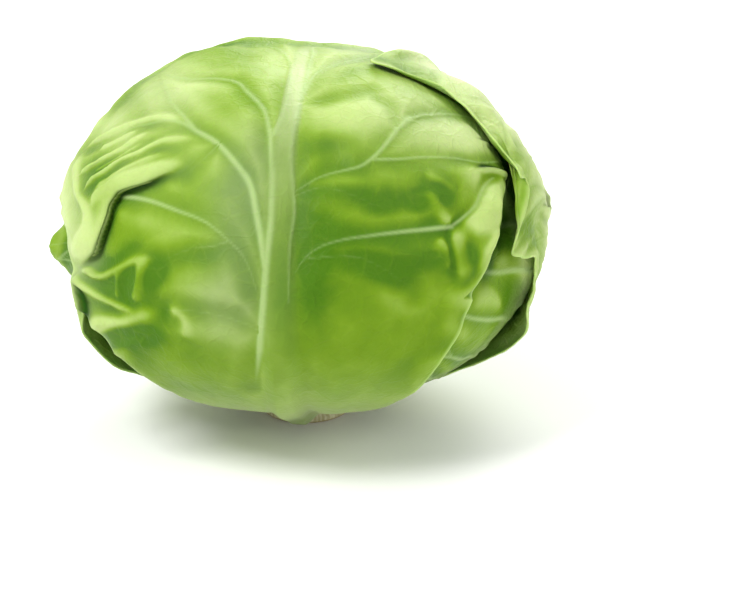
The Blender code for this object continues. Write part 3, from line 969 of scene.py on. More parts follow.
def plateau_rib(leaf, x, t):
    """The midrib's height as a flat band with rounded shoulders, and how strongly its paint shows."""
    half, tall = rib_size(leaf, t)
    share = np.abs(x) / half
    height = tall * (1.0 - smoothstep((share - RIB_FLAT) / RIB_SHOULDER))
    return height, 1.0 - smoothstep((share - RIB_PAINTED) / RIB_PAINT_FADE)


def rib_strength(leaf, t, painted_lit):
    """How strongly the midrib's paint shows along a leaf: the front leaf's is faint in the middle."""
    if leaf is not FRONT_LEAF:
        return 1.0 - painted_lit
    upper = smoothstep((t - RIB_UPPER_START) / RIB_UPPER_RISE)
    lower = smoothstep((RIB_LOWER_END - t) / RIB_LOWER_FADE)
    return RIB_FAINTEST + (1.0 - RIB_FAINTEST) * np.maximum(upper, lower)


# %% Which folds and colours each leaf has
def folded(leaf, x, y, shape):
    """Height, slide and painted shade of a leaf's gathers and folds, and the height of its short folds.
    """
    none = np.zeros(len(x))
    slide = np.zeros((len(x), 2))
    if leaf is FRONT_LEAF:
        fold, slide, dark = fold_relief(front_folds, x, y)
        fold = softened(fold, shape, 1, 1)
        slide = np.stack([softened(part, shape, 1, 1) for part in slide.T], axis=-1)
        short, _, short_dark = fold_relief(short_folds, x, y)
        return fold + ridge_relief(front_ridges, x, y), slide, np.maximum(dark, short_dark), short
    if leaf is RIGHT_LEAF:
        return *fold_relief(right_folds, x, y), none
    # The leaf under the front leaf's margin gets that margin's painted shadow
    if leaf is UNDER_LEAF:
        return none, slide, patches(leaf, UNDER_SHADOWS, x, y), none
    return none, slide, none, none


def coloured(leaf, x, y):
    """Green depth with painted shade and highlight, grey bloom, and frost with painted glare, over the
    blade.
    """
    depth_share, bloom_share = NOISE_SHARES.get(leaf.name, (1.0, 1.0))
    green_and_shading = DEPTH_NOISE * flat_noise(x, y, DEPTH_SIZE, leaf.seed + DEPTH_DRAW)
    bloom = 0.5 + 0.5 * flat_noise(x, y, DEPTH_SIZE, leaf.seed + BLOOM_DRAW)
    green_and_shading = depth_share * green_and_shading
    bloom = bloom_share * bloom
    frost_and_glare = np.zeros(len(x))
    if leaf is FRONT_LEAF:
        green_and_shading = green_and_shading + patches(leaf, FRONT_GREEN_AND_SHADING, x, y)
        bloom = bloom + patches(leaf, FRONT_BLOOM, x, y)
        frost_and_glare = patches(leaf, FRONT_FROST_AND_GLARE, x, y)
    if leaf is UNDER_LEAF:
        green_and_shading = green_and_shading + patches(leaf, UNDER_SHADOW_AND_LIGHT, x, y)
    if leaf is RIGHT_LEAF:
        green_and_shading = green_and_shading + patches(leaf, RIGHT_EDGE_HIGHLIGHT, x, y)
        frost_and_glare = round_spots(leaf, RIGHT_FROST_AND_GLARE, x, y)
    return green_and_shading, bloom, frost_and_glare


# %% [markdown]
# ## From rules to meshes
#
# The outer face gets a fine grid, because its veins show. The inner face is hardly seen and gets every
# second row and column, and the rim joins the two, so each blade is one closed body. What the paint
# needs, such as how near a vein is, is stored on the points as named attributes.

# %% Building one closed blade
UNWRAP_SIZE = 0.48
RIB_PAINT_END = 1.02
RIB_END_FADE = 0.5
RIB_END_START = 0.3
EDGE_WIDTH = 0.0016
BASE_END = 0.34


def build_mesh(name, points, quads, triangles):
    """A mesh from arrays of points, four-sided faces and three-sided faces."""
    mesh = bpy.data.meshes.new(name)
    mesh.vertices.add(len(points))
    mesh.vertices.foreach_set("co", points.astype(np.float32).ravel())
    corners = np.concatenate([quads.ravel(), triangles.ravel()]).astype(np.int32)
    mesh.loops.add(len(corners))
    mesh.loops.foreach_set("vertex_index", corners)
    starts = np.concatenate(
        [np.arange(len(quads)) * 4, len(quads) * 4 + np.arange(len(triangles)) * 3]
    ).astype(np.int32)
    mesh.polygons.add(len(starts))
    mesh.polygons.foreach_set("loop_start", starts)
    mesh.update(calc_edges=True)
    mesh.validate()
    mesh.shade_smooth()
    return mesh


def grid_quads(index):
    """Four-sided faces of a grid of point numbers."""
    return np.stack(
        [index[:-1, :-1], index[:-1, 1:], index[1:, 1:], index[1:, :-1]], axis=-1
    ).reshape(-1, 4)


def grid_rim(index):
    """The point numbers round a grid's edge, in order."""
    return np.concatenate([index[0, :-1], index[:-1, -1], index[-1, :0:-1], index[:0:-1, 0]])


def store(mesh, name, values):
    """Keeps a value for each point under a name that the paint can read."""
    mesh.attributes.new(name, "FLOAT", "POINT").data.foreach_set("value", values.astype(np.float32))


# %% Closing a blade's two faces
def close_blade(name, outer, inner):
    """One closed mesh from grids of outer and inner points, the inner one half as fine."""
    shape = inner.shape[:2]
    fine = np.arange(outer.shape[0] * outer.shape[1]).reshape(outer.shape[:2])
    coarse = fine.size + np.arange(shape[0] * shape[1]).reshape(shape)
    points = np.concatenate([outer.reshape(-1, 3), inner.reshape(-1, 3)]) + np.array(HEAD_CENTRE)
    outer_quads = grid_quads(fine)
    inner_quads = grid_quads(coarse)[:, ::-1]
    fine_rim = grid_rim(fine)
    first = fine_rim[0::2]
    middle = fine_rim[1::2]
    last = np.roll(first, -1)
    below = grid_rim(coarse)
    below_next = np.roll(below, -1)
    rim = np.concatenate(
        [
            np.stack([below, middle, first], axis=-1),
            np.stack([below, below_next, middle], axis=-1),
            np.stack([below_next, last, middle], axis=-1),
        ]
    )
    a, b, c = points[outer_quads[len(outer_quads) // 2][:3]]
    if np.dot(np.cross(b - a, c - a), a - np.array(HEAD_CENTRE)) < 0.0:
        outer_quads = outer_quads[:, ::-1]
        inner_quads = inner_quads[:, ::-1]
        rim = rim[:, ::-1]
    return build_mesh(name, points, np.concatenate([outer_quads, inner_quads]), rim)


def unwrap(mesh, flat):
    """Keeps where each point lies on the flat leaf as the mesh's unwrapping."""
    corner_points = np.zeros(len(mesh.loops), dtype=np.int32)
    mesh.loops.foreach_get("vertex_index", corner_points)
    layer = mesh.uv_layers.new(name="flat_leaf")
    unwrapped = (flat + np.array([UNWRAP_SIZE / 4, 0.0])) / UNWRAP_SIZE
    layer.data.foreach_set("uv", unwrapped[corner_points].astype(np.float32).ravel())


# %% One leaf from all its rules
def make_blade(leaf):
    """One wrapper leaf as a closed mesh with its attributes, ready for its fine relief."""
    columns, rows = leaf.cells
    shape = (rows + 1, columns + 1)
    s, t = np.meshgrid(np.linspace(-1.0, 1.0, columns + 1), np.linspace(0.0, 1.0, rows + 1))
    s = s.ravel()
    t = t.ravel()
    x, y = blade_to_flat(leaf, s, t)
    direction = to_direction(leaf, x, y)
    free = 1.0 - covered(leaf, direction)
    nearly_free = 1.0 - PRESSED_SHARE * covered(leaf, direction, *PUCKER_REACH)
    edge = margin_distance(leaf, s, t)
    # Where the leaf under the front leaf's margin is painted as lit, without painted shade or midrib
    # paint
    painted_lit = np.zeros(len(x))
    if leaf is UNDER_LEAF:
        painted_lit = np.clip(patches(leaf, UNDER_PAINTED_LIT, x, y), 0.0, 1.0)

    # What lifts the blade where nothing lies on it
    lift = curl_height(leaf, x, y, s, t)
    swell = leaf.swell * smoothstep(t / SWELL_START) * smoothstep((1.0 - t) / SWELL_END)
    lift += swell * (1.0 + flat_noise(x, y, SWELL_SIZE, leaf.seed + SWELL_DRAW))
    lift += round_spots(leaf, SWELLS.get(leaf.name, ()), x, y)
    fold, slide, dark, short = folded(leaf, x, y, shape)
    lift += fold
    green_and_shading, bloom, frost_and_glare = coloured(leaf, x, y)

    # Veins, the midrib, and the swollen blade between them
    veins = front_veins
    if leaf is not FRONT_LEAF:
        veins = Lines()
        grow_veins(leaf, veins)
    distance, _, facts = veins.nearest(x, y)
    vein = bell(distance, facts[:, 0]) * facts[:, 1]
    rib, rib_paint = plateau_rib(leaf, x, t)
    from_rib = np.abs(x) - RIB_TIP_HALF_WIDTH
    apart = smoothstep(np.minimum(distance, np.maximum(from_rib, 0.0)) / BULGE_WIDTH)
    uneven = 1.0 + BULGE_UNEVENNESS * flat_noise(x, y, BULGE_SIZE, leaf.seed + BULGE_DRAW)
    bulge = BULGE_HEIGHT * apart * uneven
    ripple = RIPPLE_HEIGHT * smoothstep(1.0 - edge / RIPPLE_REACH) * smoothstep(t / RIPPLE_RISE)
    ripple = ripple * (1.0 + flat_noise(x, y, RIPPLE_SIZE, leaf.seed + RIPPLE_DRAW))
    lift = free * lift + nearly_free * (bulge + ripple)
    if leaf is FRONT_LEAF:
        lift += short * (1.0 - covered(leaf, direction, *SHORT_REACH))
    if leaf is LEFT_LEAF:
        poke, rise = poke_out(leaf, LEFT_POKE, x, y, direction)
        lift += rise
        green_and_shading = green_and_shading + poke
        bloom = bloom * (1.0 - poke)
    if leaf is UNDER_LEAF:
        lift += poke_out(leaf, UNDER_POKE, x, y, direction)[1]
    # Painted shade in the relief's hollows and painted highlight on its crests
    relief_shading = hollowness(lift, shape)
    shade = covered(leaf, direction, 0.0, SHADE_REACH) * (1.0 - painted_lit)

    # A margin that stands off also rolls back a little towards the blade
    roll = CURL_ROLL * free * curl_height(leaf, x, y, s, t) * smoothstep(1.0 - edge / ROLL_REACH)
    x_shown = x + free * slide[:, 0] - np.sign(s) * roll + lobe_shift(leaf, s, t)
    y_shown = y + free * slide[:, 1]
    shown = to_direction(leaf, x_shown, y_shown)

    thick = MARGIN_BLADE + (BLADE - MARGIN_BLADE) * smoothstep(edge / MARGIN_TAPER)
    inner_radius = stack_radius(leaf, shown) + lift
    outer = (shown * (inner_radius + thick + rib)[:, None]).reshape(shape + (3,))
    inner = (shown * inner_radius[:, None]).reshape(shape + (3,))
    mesh = close_blade(leaf.name + "_blade", outer, inner[::2, ::2])

    def both(values, inner_share=1.0):
        inner_values = values.reshape(shape)[::2, ::2].ravel() * inner_share
        return np.concatenate([values, inner_values])

    rib_end = smoothstep((RIB_PAINT_END - t) / RIB_END_FADE + RIB_END_START)
    paint_values = {
        "vein": vein,
        "rib": rib_paint * rib_end * rib_strength(leaf, t, painted_lit),
        "gap_shade": np.clip(dark, 0.0, 1.0),
        "edge": smoothstep(1.0 - edge / EDGE_WIDTH),
        "base": smoothstep((BASE_END - t) / BASE_END),
        "swollen": apart,
        "relief_shading": relief_shading,
        "green_and_shading": np.clip(green_and_shading, -1.0, 1.0),
        "shade": shade,
        "bloom": np.clip(bloom, 0.0, 1.0),
        "frost_and_glare": np.clip(frost_and_glare, 0.0, 1.0),
    }
    for name, values in paint_values.items():
        store(mesh, name, both(values))
    store(mesh, "outer_face", both(np.ones(len(x)), 0.0))
    store(mesh, "free", both(nearly_free * (1.0 - rib_paint), 0.0))
    flat = np.stack([both(x), both(y)], axis=-1)
    flat[len(x) :, 0] += UNWRAP_SIZE / 2
    unwrap(mesh, flat)
    return mesh


# %% [markdown]
# ## One class for nodes
#
# Both the paint and the fine relief are node trees. A tree's sockets are wrapped so that ordinary sums
# in Python add the Math nodes, and every other node comes from one method.

# %% Sockets that Python can add and multiply
class Wire:
    """An output socket that works in Python sums."""

    def __init__(self, nodes, socket):
        self.nodes = nodes
        self.socket = socket

    def math(self, operation, first, second):
        """The result of one Math node."""
        return self.nodes.add("ShaderNodeMath", {"operation": operation}, {0: first, 1: second})

    def __add__(self, other):
        return self.math("ADD", self, other)

    def __radd__(self, other):
        return self.math("ADD", other, self)

    def __sub__(self, other):
        return self.math("SUBTRACT", self, other)

    def __rsub__(self, other):
        return self.math("SUBTRACT", other, self)

    def __mul__(self, other):
        return self.math("MULTIPLY", self, other)

    def __rmul__(self, other):
        return self.math("MULTIPLY", other, self)

    def __pow__(self, other):
        return self.math("POWER", self, other)


class Nodes:
    """A node tree that nodes are added to by type, settings and inputs."""

    def __init__(self, tree):
        self.tree = tree

    def add(self, kind, settings=None, inputs=None, output=0):
        """Adds one node and returns its output as a Wire."""
        node = self.tree.nodes.new(kind)
        for name, value in (settings or {}).items():
            setattr(node, name, value)
        for name, value in (inputs or {}).items():
            if isinstance(value, Wire):
                self.tree.links.new(value.socket, node.inputs[name])
            else:
                node.inputs[name].default_value = value
        return Wire(self, node.outputs[output])

    def mix(self, factor, first, second):
        """Colour first where factor is 0 and second where it is 1."""
        return self.add(
            "ShaderNodeMix", {"data_type": "RGBA"}, {0: factor, 6: first, 7: second}, output=2
        )

    def step(self, value, low, high):
        """0 below low, 1 above high, and a smooth rise between."""
        return self.add(
            "ShaderNodeMapRange",
            {"interpolation_type": "SMOOTHSTEP"},
            {"Value": value, "From Min": low, "From Max": high},
        )

    def stored(self, name):
        """A value that was stored on the mesh's points."""
        return self.add("ShaderNodeAttribute", {"attribute_name": name}, output="Fac")


# %% [markdown]
# ## Fine relief with Geometry Nodes
#
# The last fraction of a millimetre follows the surface, so a node tree makes it: it raises the veins
# along the surface's own normals, and puckers the blade between them. The tree is made once, and each
# leaf sets its own sizes and seed.

# %% The relief tree
RELIEF_SIZES = {
    "Vein height": 0.0006,
    "Pucker height": 0.0010,
    "Pucker size": 0.0075,
    "Crinkle height": 0.0003,
    "Crinkle size": 0.0028,
}


def relief_tree():
    """A Geometry Nodes tree that raises stored veins and puckers the blade between them."""
    tree = bpy.data.node_groups.new("fine_relief", "GeometryNodeTree")
    tree.interface.new_socket("Geometry", in_out="INPUT", socket_type="NodeSocketGeometry")
    for name in (*RELIEF_SIZES, "Seed"):
        tree.interface.new_socket(name, in_out="INPUT", socket_type="NodeSocketFloat")
    tree.interface.new_socket("Material", in_out="INPUT", socket_type="NodeSocketMaterial")
    tree.interface.new_socket("Geometry", in_out="OUTPUT", socket_type="NodeSocketGeometry")
    nodes = Nodes(tree)
    nodes.add("NodeGroupInput")
    start = tree.nodes[-1]
    given = {socket.name: Wire(nodes, socket) for socket in start.outputs if socket.name}

    def attribute(name):
        return nodes.add("GeometryNodeInputNamedAttribute", {"data_type": "FLOAT"}, {"Name": name})

    def noise(size, detail):
        scale = nodes.add("ShaderNodeMath", {"operation": "DIVIDE"}, {0: 1.0, 1: size})
        made = nodes.add(
            "ShaderNodeTexNoise",
            {"noise_dimensions": "4D"},
            {"W": given["Seed"], "Scale": scale, "Detail": detail},
        )
        return made - 0.5

    pucker = noise(given["Pucker size"], 1.0) * given["Pucker height"] * attribute("swollen")
    crinkle = noise(given["Crinkle size"], 2.0) * given["Crinkle height"]
    raised = attribute("vein") * given["Vein height"] * attribute("outer_face")
    height = raised + (pucker + crinkle) * attribute("free")
    normal = nodes.add("GeometryNodeInputNormal")
    offset = nodes.add(
        "ShaderNodeVectorMath", {"operation": "SCALE"}, {0: normal, "Scale": height}
    )
    moved = nodes.add("GeometryNodeSetPosition", None, {"Geometry": given["Geometry"], "Offset": offset})
    real = nodes.add("GeometryNodeRealizeInstances", None, {"Geometry": moved})
    done = nodes.add("GeometryNodeSetMaterial", None, {"Geometry": real, "Material": given["Material"]})
    end = tree.nodes.new("NodeGroupOutput")
    tree.links.new(done.socket, end.inputs[0])
    return tree


def run_tree(owner, tree, values):
    """Runs a tree on an object with named inputs, and leaves a plain mesh."""
    modifier = owner.modifiers.new("nodes", "NODES")
    modifier.node_group = tree
    for item in tree.interface.items_tree:
        if item.in_out == "INPUT" and item.name in values:
            modifier[item.identifier] = values[item.name]
    ready = owner.evaluated_get(bpy.context.evaluated_depsgraph_get())
    mesh = bpy.data.meshes.new_from_object(ready)
    owner.modifiers.remove(modifier)
    owner.data = mesh
    return mesh


FINE_RELIEF = relief_tree()
print("relief tree:", len(FINE_RELIEF.nodes), "nodes")

# %% [markdown]
# ## Leaf paint
#
# A cabbage leaf is waxy: a thin bloom scatters the light and greys the green. Under it the blade is
# yellow-green and slightly see-through, deepest where it is swollen and palest along the veins and at
# the base. A net of hair-fine veins shows as a faint pattern.
# Painted shade also darkens hollows, fold openings and the gaps under margins, and painted highlight and
# glare pale crests, lit patches and the top edge.

# %% Leaf material
VEIN_COLOUR = (0.370, 0.500, 0.195, 1.0)
RIB_GREEN = (0.205, 0.290, 0.085, 1.0)
RIB_PALE = (0.460, 0.550, 0.285, 1.0)
BASE_COLOUR = (0.52, 0.58, 0.32, 1.0)
EDGE_COLOUR = (0.50, 0.68, 0.22, 1.0)
GAP_SHADE_COLOUR = (0.012, 0.048, 0.001, 1.0)
DEEP_GREEN = (0.056, 0.158, 0.001, 1.0)
MID_GREEN = (0.180, 0.315, 0.006, 1.0)
PALE_GREEN = (0.410, 0.540, 0.160, 1.0)
BLOOM_DARK = (0.165, 0.245, 0.080, 1.0)
BLOOM_LIGHT = (0.460, 0.530, 0.290, 1.0)
FROST_AND_GLARE_COLOUR = (0.620, 0.700, 0.380, 1.0)
NET_COLOUR = (0.330, 0.480, 0.050, 1.0)
LEAF_FINISH = {
    "Subsurface Weight": 0.22,
    "Subsurface Radius": (0.5, 1.0, 0.2),
    "Subsurface Scale": 0.0025,
    "Specular IOR Level": 0.09,
    "Sheen Weight": 0.01,
    "Sheen Roughness": 0.45,
}
# Sizes of the patterns, in metres, and how wide the walls of the nets are, as a share of a cell
NET_SIZE, NET_WALL = 0.0090, 0.10
FINE_NET_SIZE, FINE_NET_WALL = 0.0034, 0.13
PATCH_SIZE = 0.034
MOTTLE_SIZE = 0.009
SHINE_SIZE = 0.012
GRAIN_SIZE = 0.0011
NET_BEND = 0.6
NET_BEND_SIZE = 1.1
# What makes a place pale: each pattern's weight, and the leaf's own tone
PATCH_WEIGHT = 0.25
MOTTLE_WEIGHT = 0.20
TONE_LEAST = 0.05
TONE_WEIGHT = 0.22
GREEN_AND_SHADING_WEIGHT = 0.55
RELIEF_SHADING_WEIGHT = 0.43
SWOLLEN_WEIGHT = 0.12
# Between which values of that paleness, of the mottle or of the vein each colour comes in
MID_RANGE = (-0.10, 0.50)
PALE_RANGE = (0.28, 0.95)
BLOOM_RANGE = (0.10, 0.90)
NET_RANGE = (0.40, 0.65)
VEIN_RANGE = (0.05, 1.05)
RIB_RANGE = (0.15, 0.90)
# How far each layer of colour covers what is under it
BLOOM_SHARE = 0.60
NET_SHARE = 0.06
FINE_NET_SHARE = 0.02
BASE_SHARE = 0.85
VEIN_SHARE = 0.80
RIB_SHARE = 0.75
EDGE_SHARE = 0.6
SHADE_SHARE = 0.4
BUMP_STRENGTH = 0.32
BUMP_HEIGHT = 0.0009
NET_BUMP = 0.4
FINE_NET_BUMP = 0.22
GRAIN_BUMP = 0.35
MOTTLE_BUMP = 0.6
GRAIN_DETAIL = 0.6
LEAF_ROUGHNESS = 0.40
SHINE_UNEVENNESS = 0.14
NET_ROUGHNESS = 0.06


def leaf_paint(name, tone):
    """A waxy leaf. tone goes from 0, a deep green leaf, to 1, a pale one."""
    made = bpy.data.materials.new(name)
    made.use_nodes = True
    tree = made.node_tree
    shader = tree.nodes["Principled BSDF"]
    nodes = Nodes(tree)
    place = nodes.add("ShaderNodeTexCoord", output="Object")

    def noise(size, detail, rough=0.5):
        return nodes.add(
            "ShaderNodeTexNoise", None,
            {"Vector": place, "Scale": 1.0 / size, "Detail": detail, "Roughness": rough},
        )

    def net_of(size, width):
        """A net of hair-fine veins: the walls between bent cells."""
        bend = nodes.add(
            "ShaderNodeTexNoise",
            None,
            {"Vector": place, "Scale": NET_BEND / size, "Detail": 2.0},
            output="Color",
        )
        bent = nodes.add(
            "ShaderNodeVectorMath",
            {"operation": "SCALE"},
            {0: bend, "Scale": size * NET_BEND_SIZE},
        )
        moved = nodes.add("ShaderNodeVectorMath", {"operation": "ADD"}, {0: place, 1: bent})
        walls = nodes.add(
            "ShaderNodeTexVoronoi",
            {"feature": "DISTANCE_TO_EDGE"},
            {"Vector": moved, "Scale": 1.0 / size},
        )
        return 1.0 - nodes.step(walls, 0.0, width)

    vein = nodes.stored("vein")
    relief_shading = nodes.stored("relief_shading")
    net = net_of(NET_SIZE, NET_WALL)
    fine_net = net_of(FINE_NET_SIZE, FINE_NET_WALL)
    patchy = noise(PATCH_SIZE, 2.0)
    mottle = noise(MOTTLE_SIZE, 3.0)

    own_tone = TONE_LEAST + TONE_WEIGHT * tone
    pale = patchy * PATCH_WEIGHT + mottle * MOTTLE_WEIGHT + own_tone
    # Painted shade darkens and painted highlight pales the green here, on top of its own depth
    pale = pale - GREEN_AND_SHADING_WEIGHT * nodes.stored("green_and_shading") - RELIEF_SHADING_WEIGHT * relief_shading
    pale = pale - SWOLLEN_WEIGHT * nodes.stored("swollen")
    blade = nodes.mix(nodes.step(pale, *MID_RANGE), DEEP_GREEN, MID_GREEN)
    blade = nodes.mix(nodes.step(pale, *PALE_RANGE), blade, PALE_GREEN)
    grey = nodes.mix(nodes.step(pale, *BLOOM_RANGE), BLOOM_DARK, BLOOM_LIGHT)
    blade = nodes.mix(nodes.stored("bloom") * BLOOM_SHARE, blade, grey)
    # Pale waxy bloom together with painted glare and painted highlight
    blade = nodes.mix(nodes.stored("frost_and_glare"), blade, FROST_AND_GLARE_COLOUR)
    blade = nodes.mix(net * nodes.step(mottle, *NET_RANGE) * NET_SHARE, blade, NET_COLOUR)
    blade = nodes.mix(fine_net * FINE_NET_SHARE, blade, NET_COLOUR)
    colour = nodes.mix(nodes.stored("base") * BASE_SHARE, blade, BASE_COLOUR)
    colour = nodes.mix(nodes.step(vein, *VEIN_RANGE) * VEIN_SHARE, colour, VEIN_COLOUR)
    rib_colour = nodes.mix(nodes.step(pale, *RIB_RANGE), RIB_GREEN, RIB_PALE)
    colour = nodes.mix(nodes.stored("rib") * RIB_SHARE, colour, rib_colour)
    colour = nodes.mix(nodes.stored("edge") * EDGE_SHARE, colour, EDGE_COLOUR)
    colour = nodes.mix(nodes.stored("shade") * SHADE_SHARE, colour, DEEP_GREEN)
    # Painted shade in fold openings and along the front leaf's right margin on the leaf under it
    colour = nodes.mix(nodes.stored("gap_shade"), colour, GAP_SHADE_COLOUR)
    tree.links.new(colour.socket, shader.inputs["Base Color"])

    rough = LEAF_ROUGHNESS + SHINE_UNEVENNESS * noise(SHINE_SIZE, 2.0) + NET_ROUGHNESS * net
    tree.links.new(rough.socket, shader.inputs["Roughness"])
    grain = noise(GRAIN_SIZE, 2.0, GRAIN_DETAIL)
    height = net * NET_BUMP + fine_net * FINE_NET_BUMP + grain * GRAIN_BUMP + mottle * MOTTLE_BUMP
    bump = nodes.add(
        "ShaderNodeBump",
        None,
        {"Strength": BUMP_STRENGTH, "Distance": BUMP_HEIGHT, "Height": height},
    )
    tree.links.new(bump.socket, shader.inputs["Normal"])
    for socket_name, value in LEAF_FINISH.items():
        shader.inputs[socket_name].default_value = value
    return made


def show(piece, node):
    """Puts a finished piece on the head's one body, in place of its measured solid."""
    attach(piece, "root")
    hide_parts(node)


def make_leaf(leaf):
    """One wrapper leaf with its fine relief and paint."""
    mesh = make_blade(leaf)
    piece = bpy.data.objects.new(leaf.name + "_waxy", mesh)
    bpy.context.scene.collection.objects.link(piece)
    paint = leaf_paint(leaf.name + "_paint", leaf.tone)
    values = RELIEF_SIZES | {"Seed": float(leaf.seed), "Material": paint}
    mesh = run_tree(piece, FINE_RELIEF, values)
    show(piece, leaf.name)
    mesh.calc_loop_triangles()
    print(leaf.name, len(mesh.loop_triangles), "triangles")


for wrapper in LEAVES:
    make_leaf(wrapper)

# %% [markdown]
# ## The heart and the stem
#
# Between the wrapper leaves' bases the heart shows: the next leaves in, packed tight, paler than the
# outer ones. The stem is a turned stump, woody and ringed at the cut, that narrows into the heart.

# %% Heart
HEART_COLUMNS = 200
HEART_ROWS = 180
PIT_ANGLE = 0.235
PIT_TOP = 0.0370
PIT_EDGE = 0.03
HEART_STEP = 0.0007
HEART_VEIN_COUNT = 22
HEART_VEIN_HEIGHT = 0.0004
HEART_VEIN_START = 0.80
HEART_WANDER_SCALE = 3.1
HEART_WANDER_START = 7.0
HEART_WANDER_SEED = 3
HEART_VEIN_FADE = 0.2
HEART_VEIN_WANDER = 5.0
HEART_VEIN_LEAN = 2.5
HEART_LEAVES = 3.0
HEART_LEAF_TWIST = 0.6
POLE_FADE = 0.5
STEP_POLE_FADE = 0.6
HEART_TONE = 0.95
HEART_SWELL = 0.3
BASE_PALE_ANGLE = 1.0
BASE_PALE_FADE = 0.8
PAINT_VALUES = (
    "vein", "rib", "gap_shade", "edge", "base", "swollen", "relief_shading", "green_and_shading", "shade", "bloom", "frost_and_glare",
)


def make_heart():
    """The dense inner head: a closed ball with a pit for the stem and soft radiating veins."""
    around, down = np.meshgrid(
        np.linspace(0.0, 2.0 * math.pi, HEART_COLUMNS, endpoint=False),
        np.linspace(0.0, math.pi, HEART_ROWS + 1)[1:-1],
    )
    around = around.ravel()
    down = down.ravel()
    direction = np.stack(
        [np.sin(down) * np.cos(around), np.sin(down) * np.sin(around), np.cos(down)], axis=-1
    )
    wander = smooth_noise(direction * HEART_WANDER_SCALE + HEART_WANDER_START, HEART_WANDER_SEED)
    bent = HEART_VEIN_WANDER * wander
    wave = np.cos(HEART_VEIN_COUNT * around + bent + HEART_VEIN_LEAN * np.cos(down))
    vein = smoothstep((wave - HEART_VEIN_START) / HEART_VEIN_FADE)
    vein = vein * smoothstep(np.sin(down) / POLE_FADE)
    radius = heart_radius(direction) + HEART_VEIN_HEIGHT * vein
    turn = (around / (2.0 * math.pi) * HEART_LEAVES + down * HEART_LEAF_TWIST) % 1.0
    radius = radius - HEART_STEP * smoothstep(turn) * smoothstep(np.sin(down) / STEP_POLE_FADE)
    from_bottom = math.pi - down
    pit = smoothstep((PIT_ANGLE - from_bottom) / PIT_EDGE)
    radius = radius * (1.0 - pit) + pit * PIT_TOP / np.cos(np.minimum(from_bottom, 1.0))
    top_radius = heart_radius(np.array([[0.0, 0.0, 1.0]]))[0]
    ends = np.array([[0.0, 0.0, top_radius], [0.0, 0.0, -PIT_TOP]])
    points = np.concatenate([direction * radius[:, None], ends]) + np.array(HEAD_CENTRE)
    index = np.arange(len(radius)).reshape(HEART_ROWS - 1, HEART_COLUMNS)
    index = np.concatenate([index, index[:, :1]], axis=1)
    top = len(radius)
    cap_top = np.stack([np.full(HEART_COLUMNS, top), index[0, :-1], index[0, 1:]], axis=-1)
    cap_low = np.stack([np.full(HEART_COLUMNS, top + 1), index[-1, 1:], index[-1, :-1]], axis=-1)
    quads = grid_quads(index)[:, ::-1]
    mesh = build_mesh("heart_ball", points, quads, np.concatenate([cap_top, cap_low]))
    shown_values = {
        "vein": vein,
        "base": smoothstep((BASE_PALE_ANGLE - from_bottom) / BASE_PALE_FADE),
        "swollen": HEART_SWELL * (1.0 - vein),
    }
    none = np.zeros(len(radius))
    for name in PAINT_VALUES:
        store(mesh, name, np.concatenate([shown_values.get(name, none), np.zeros(2)]))
    piece = bpy.data.objects.new("heart_packed_leaves", mesh)
    bpy.context.scene.collection.objects.link(piece)
    mesh.materials.append(leaf_paint("heart_paint", HEART_TONE))
    show(piece, "heart")
    return piece


heart_piece = make_heart()
print("heart:", len(heart_piece.data.polygons), "faces")

# %% Stem paint
BARK_COLOUR = (0.44, 0.40, 0.20, 1.0)
PITH_COLOUR = (0.72, 0.70, 0.46, 1.0)
CUT_BROWN = (0.36, 0.27, 0.12, 1.0)
RING_SHARE = 0.35
CUT_EDGE_SHARE = 0.8
CUT_HEIGHT = 0.0006
BARK_INNER = 0.0150
BARK_OUTER = 0.0164
RING_RATE = 3600.0
RING_WOBBLE = 0.0016
WOBBLE_SCALE = 240.0
FIBRE_SCALE = 900.0
FIBRE_STRETCH = (1.0, 1.0, 0.12)
FIBRE_RANGE = (0.35, 0.7)
RING_RANGE = (-0.2, 1.0)
STEM_ROUGHNESS = 0.55
FIBRE_ROUGHNESS = 0.2
STEM_BUMP_STRENGTH = 0.5
STEM_BUMP_HEIGHT = 0.0006
RING_BUMP = 0.2


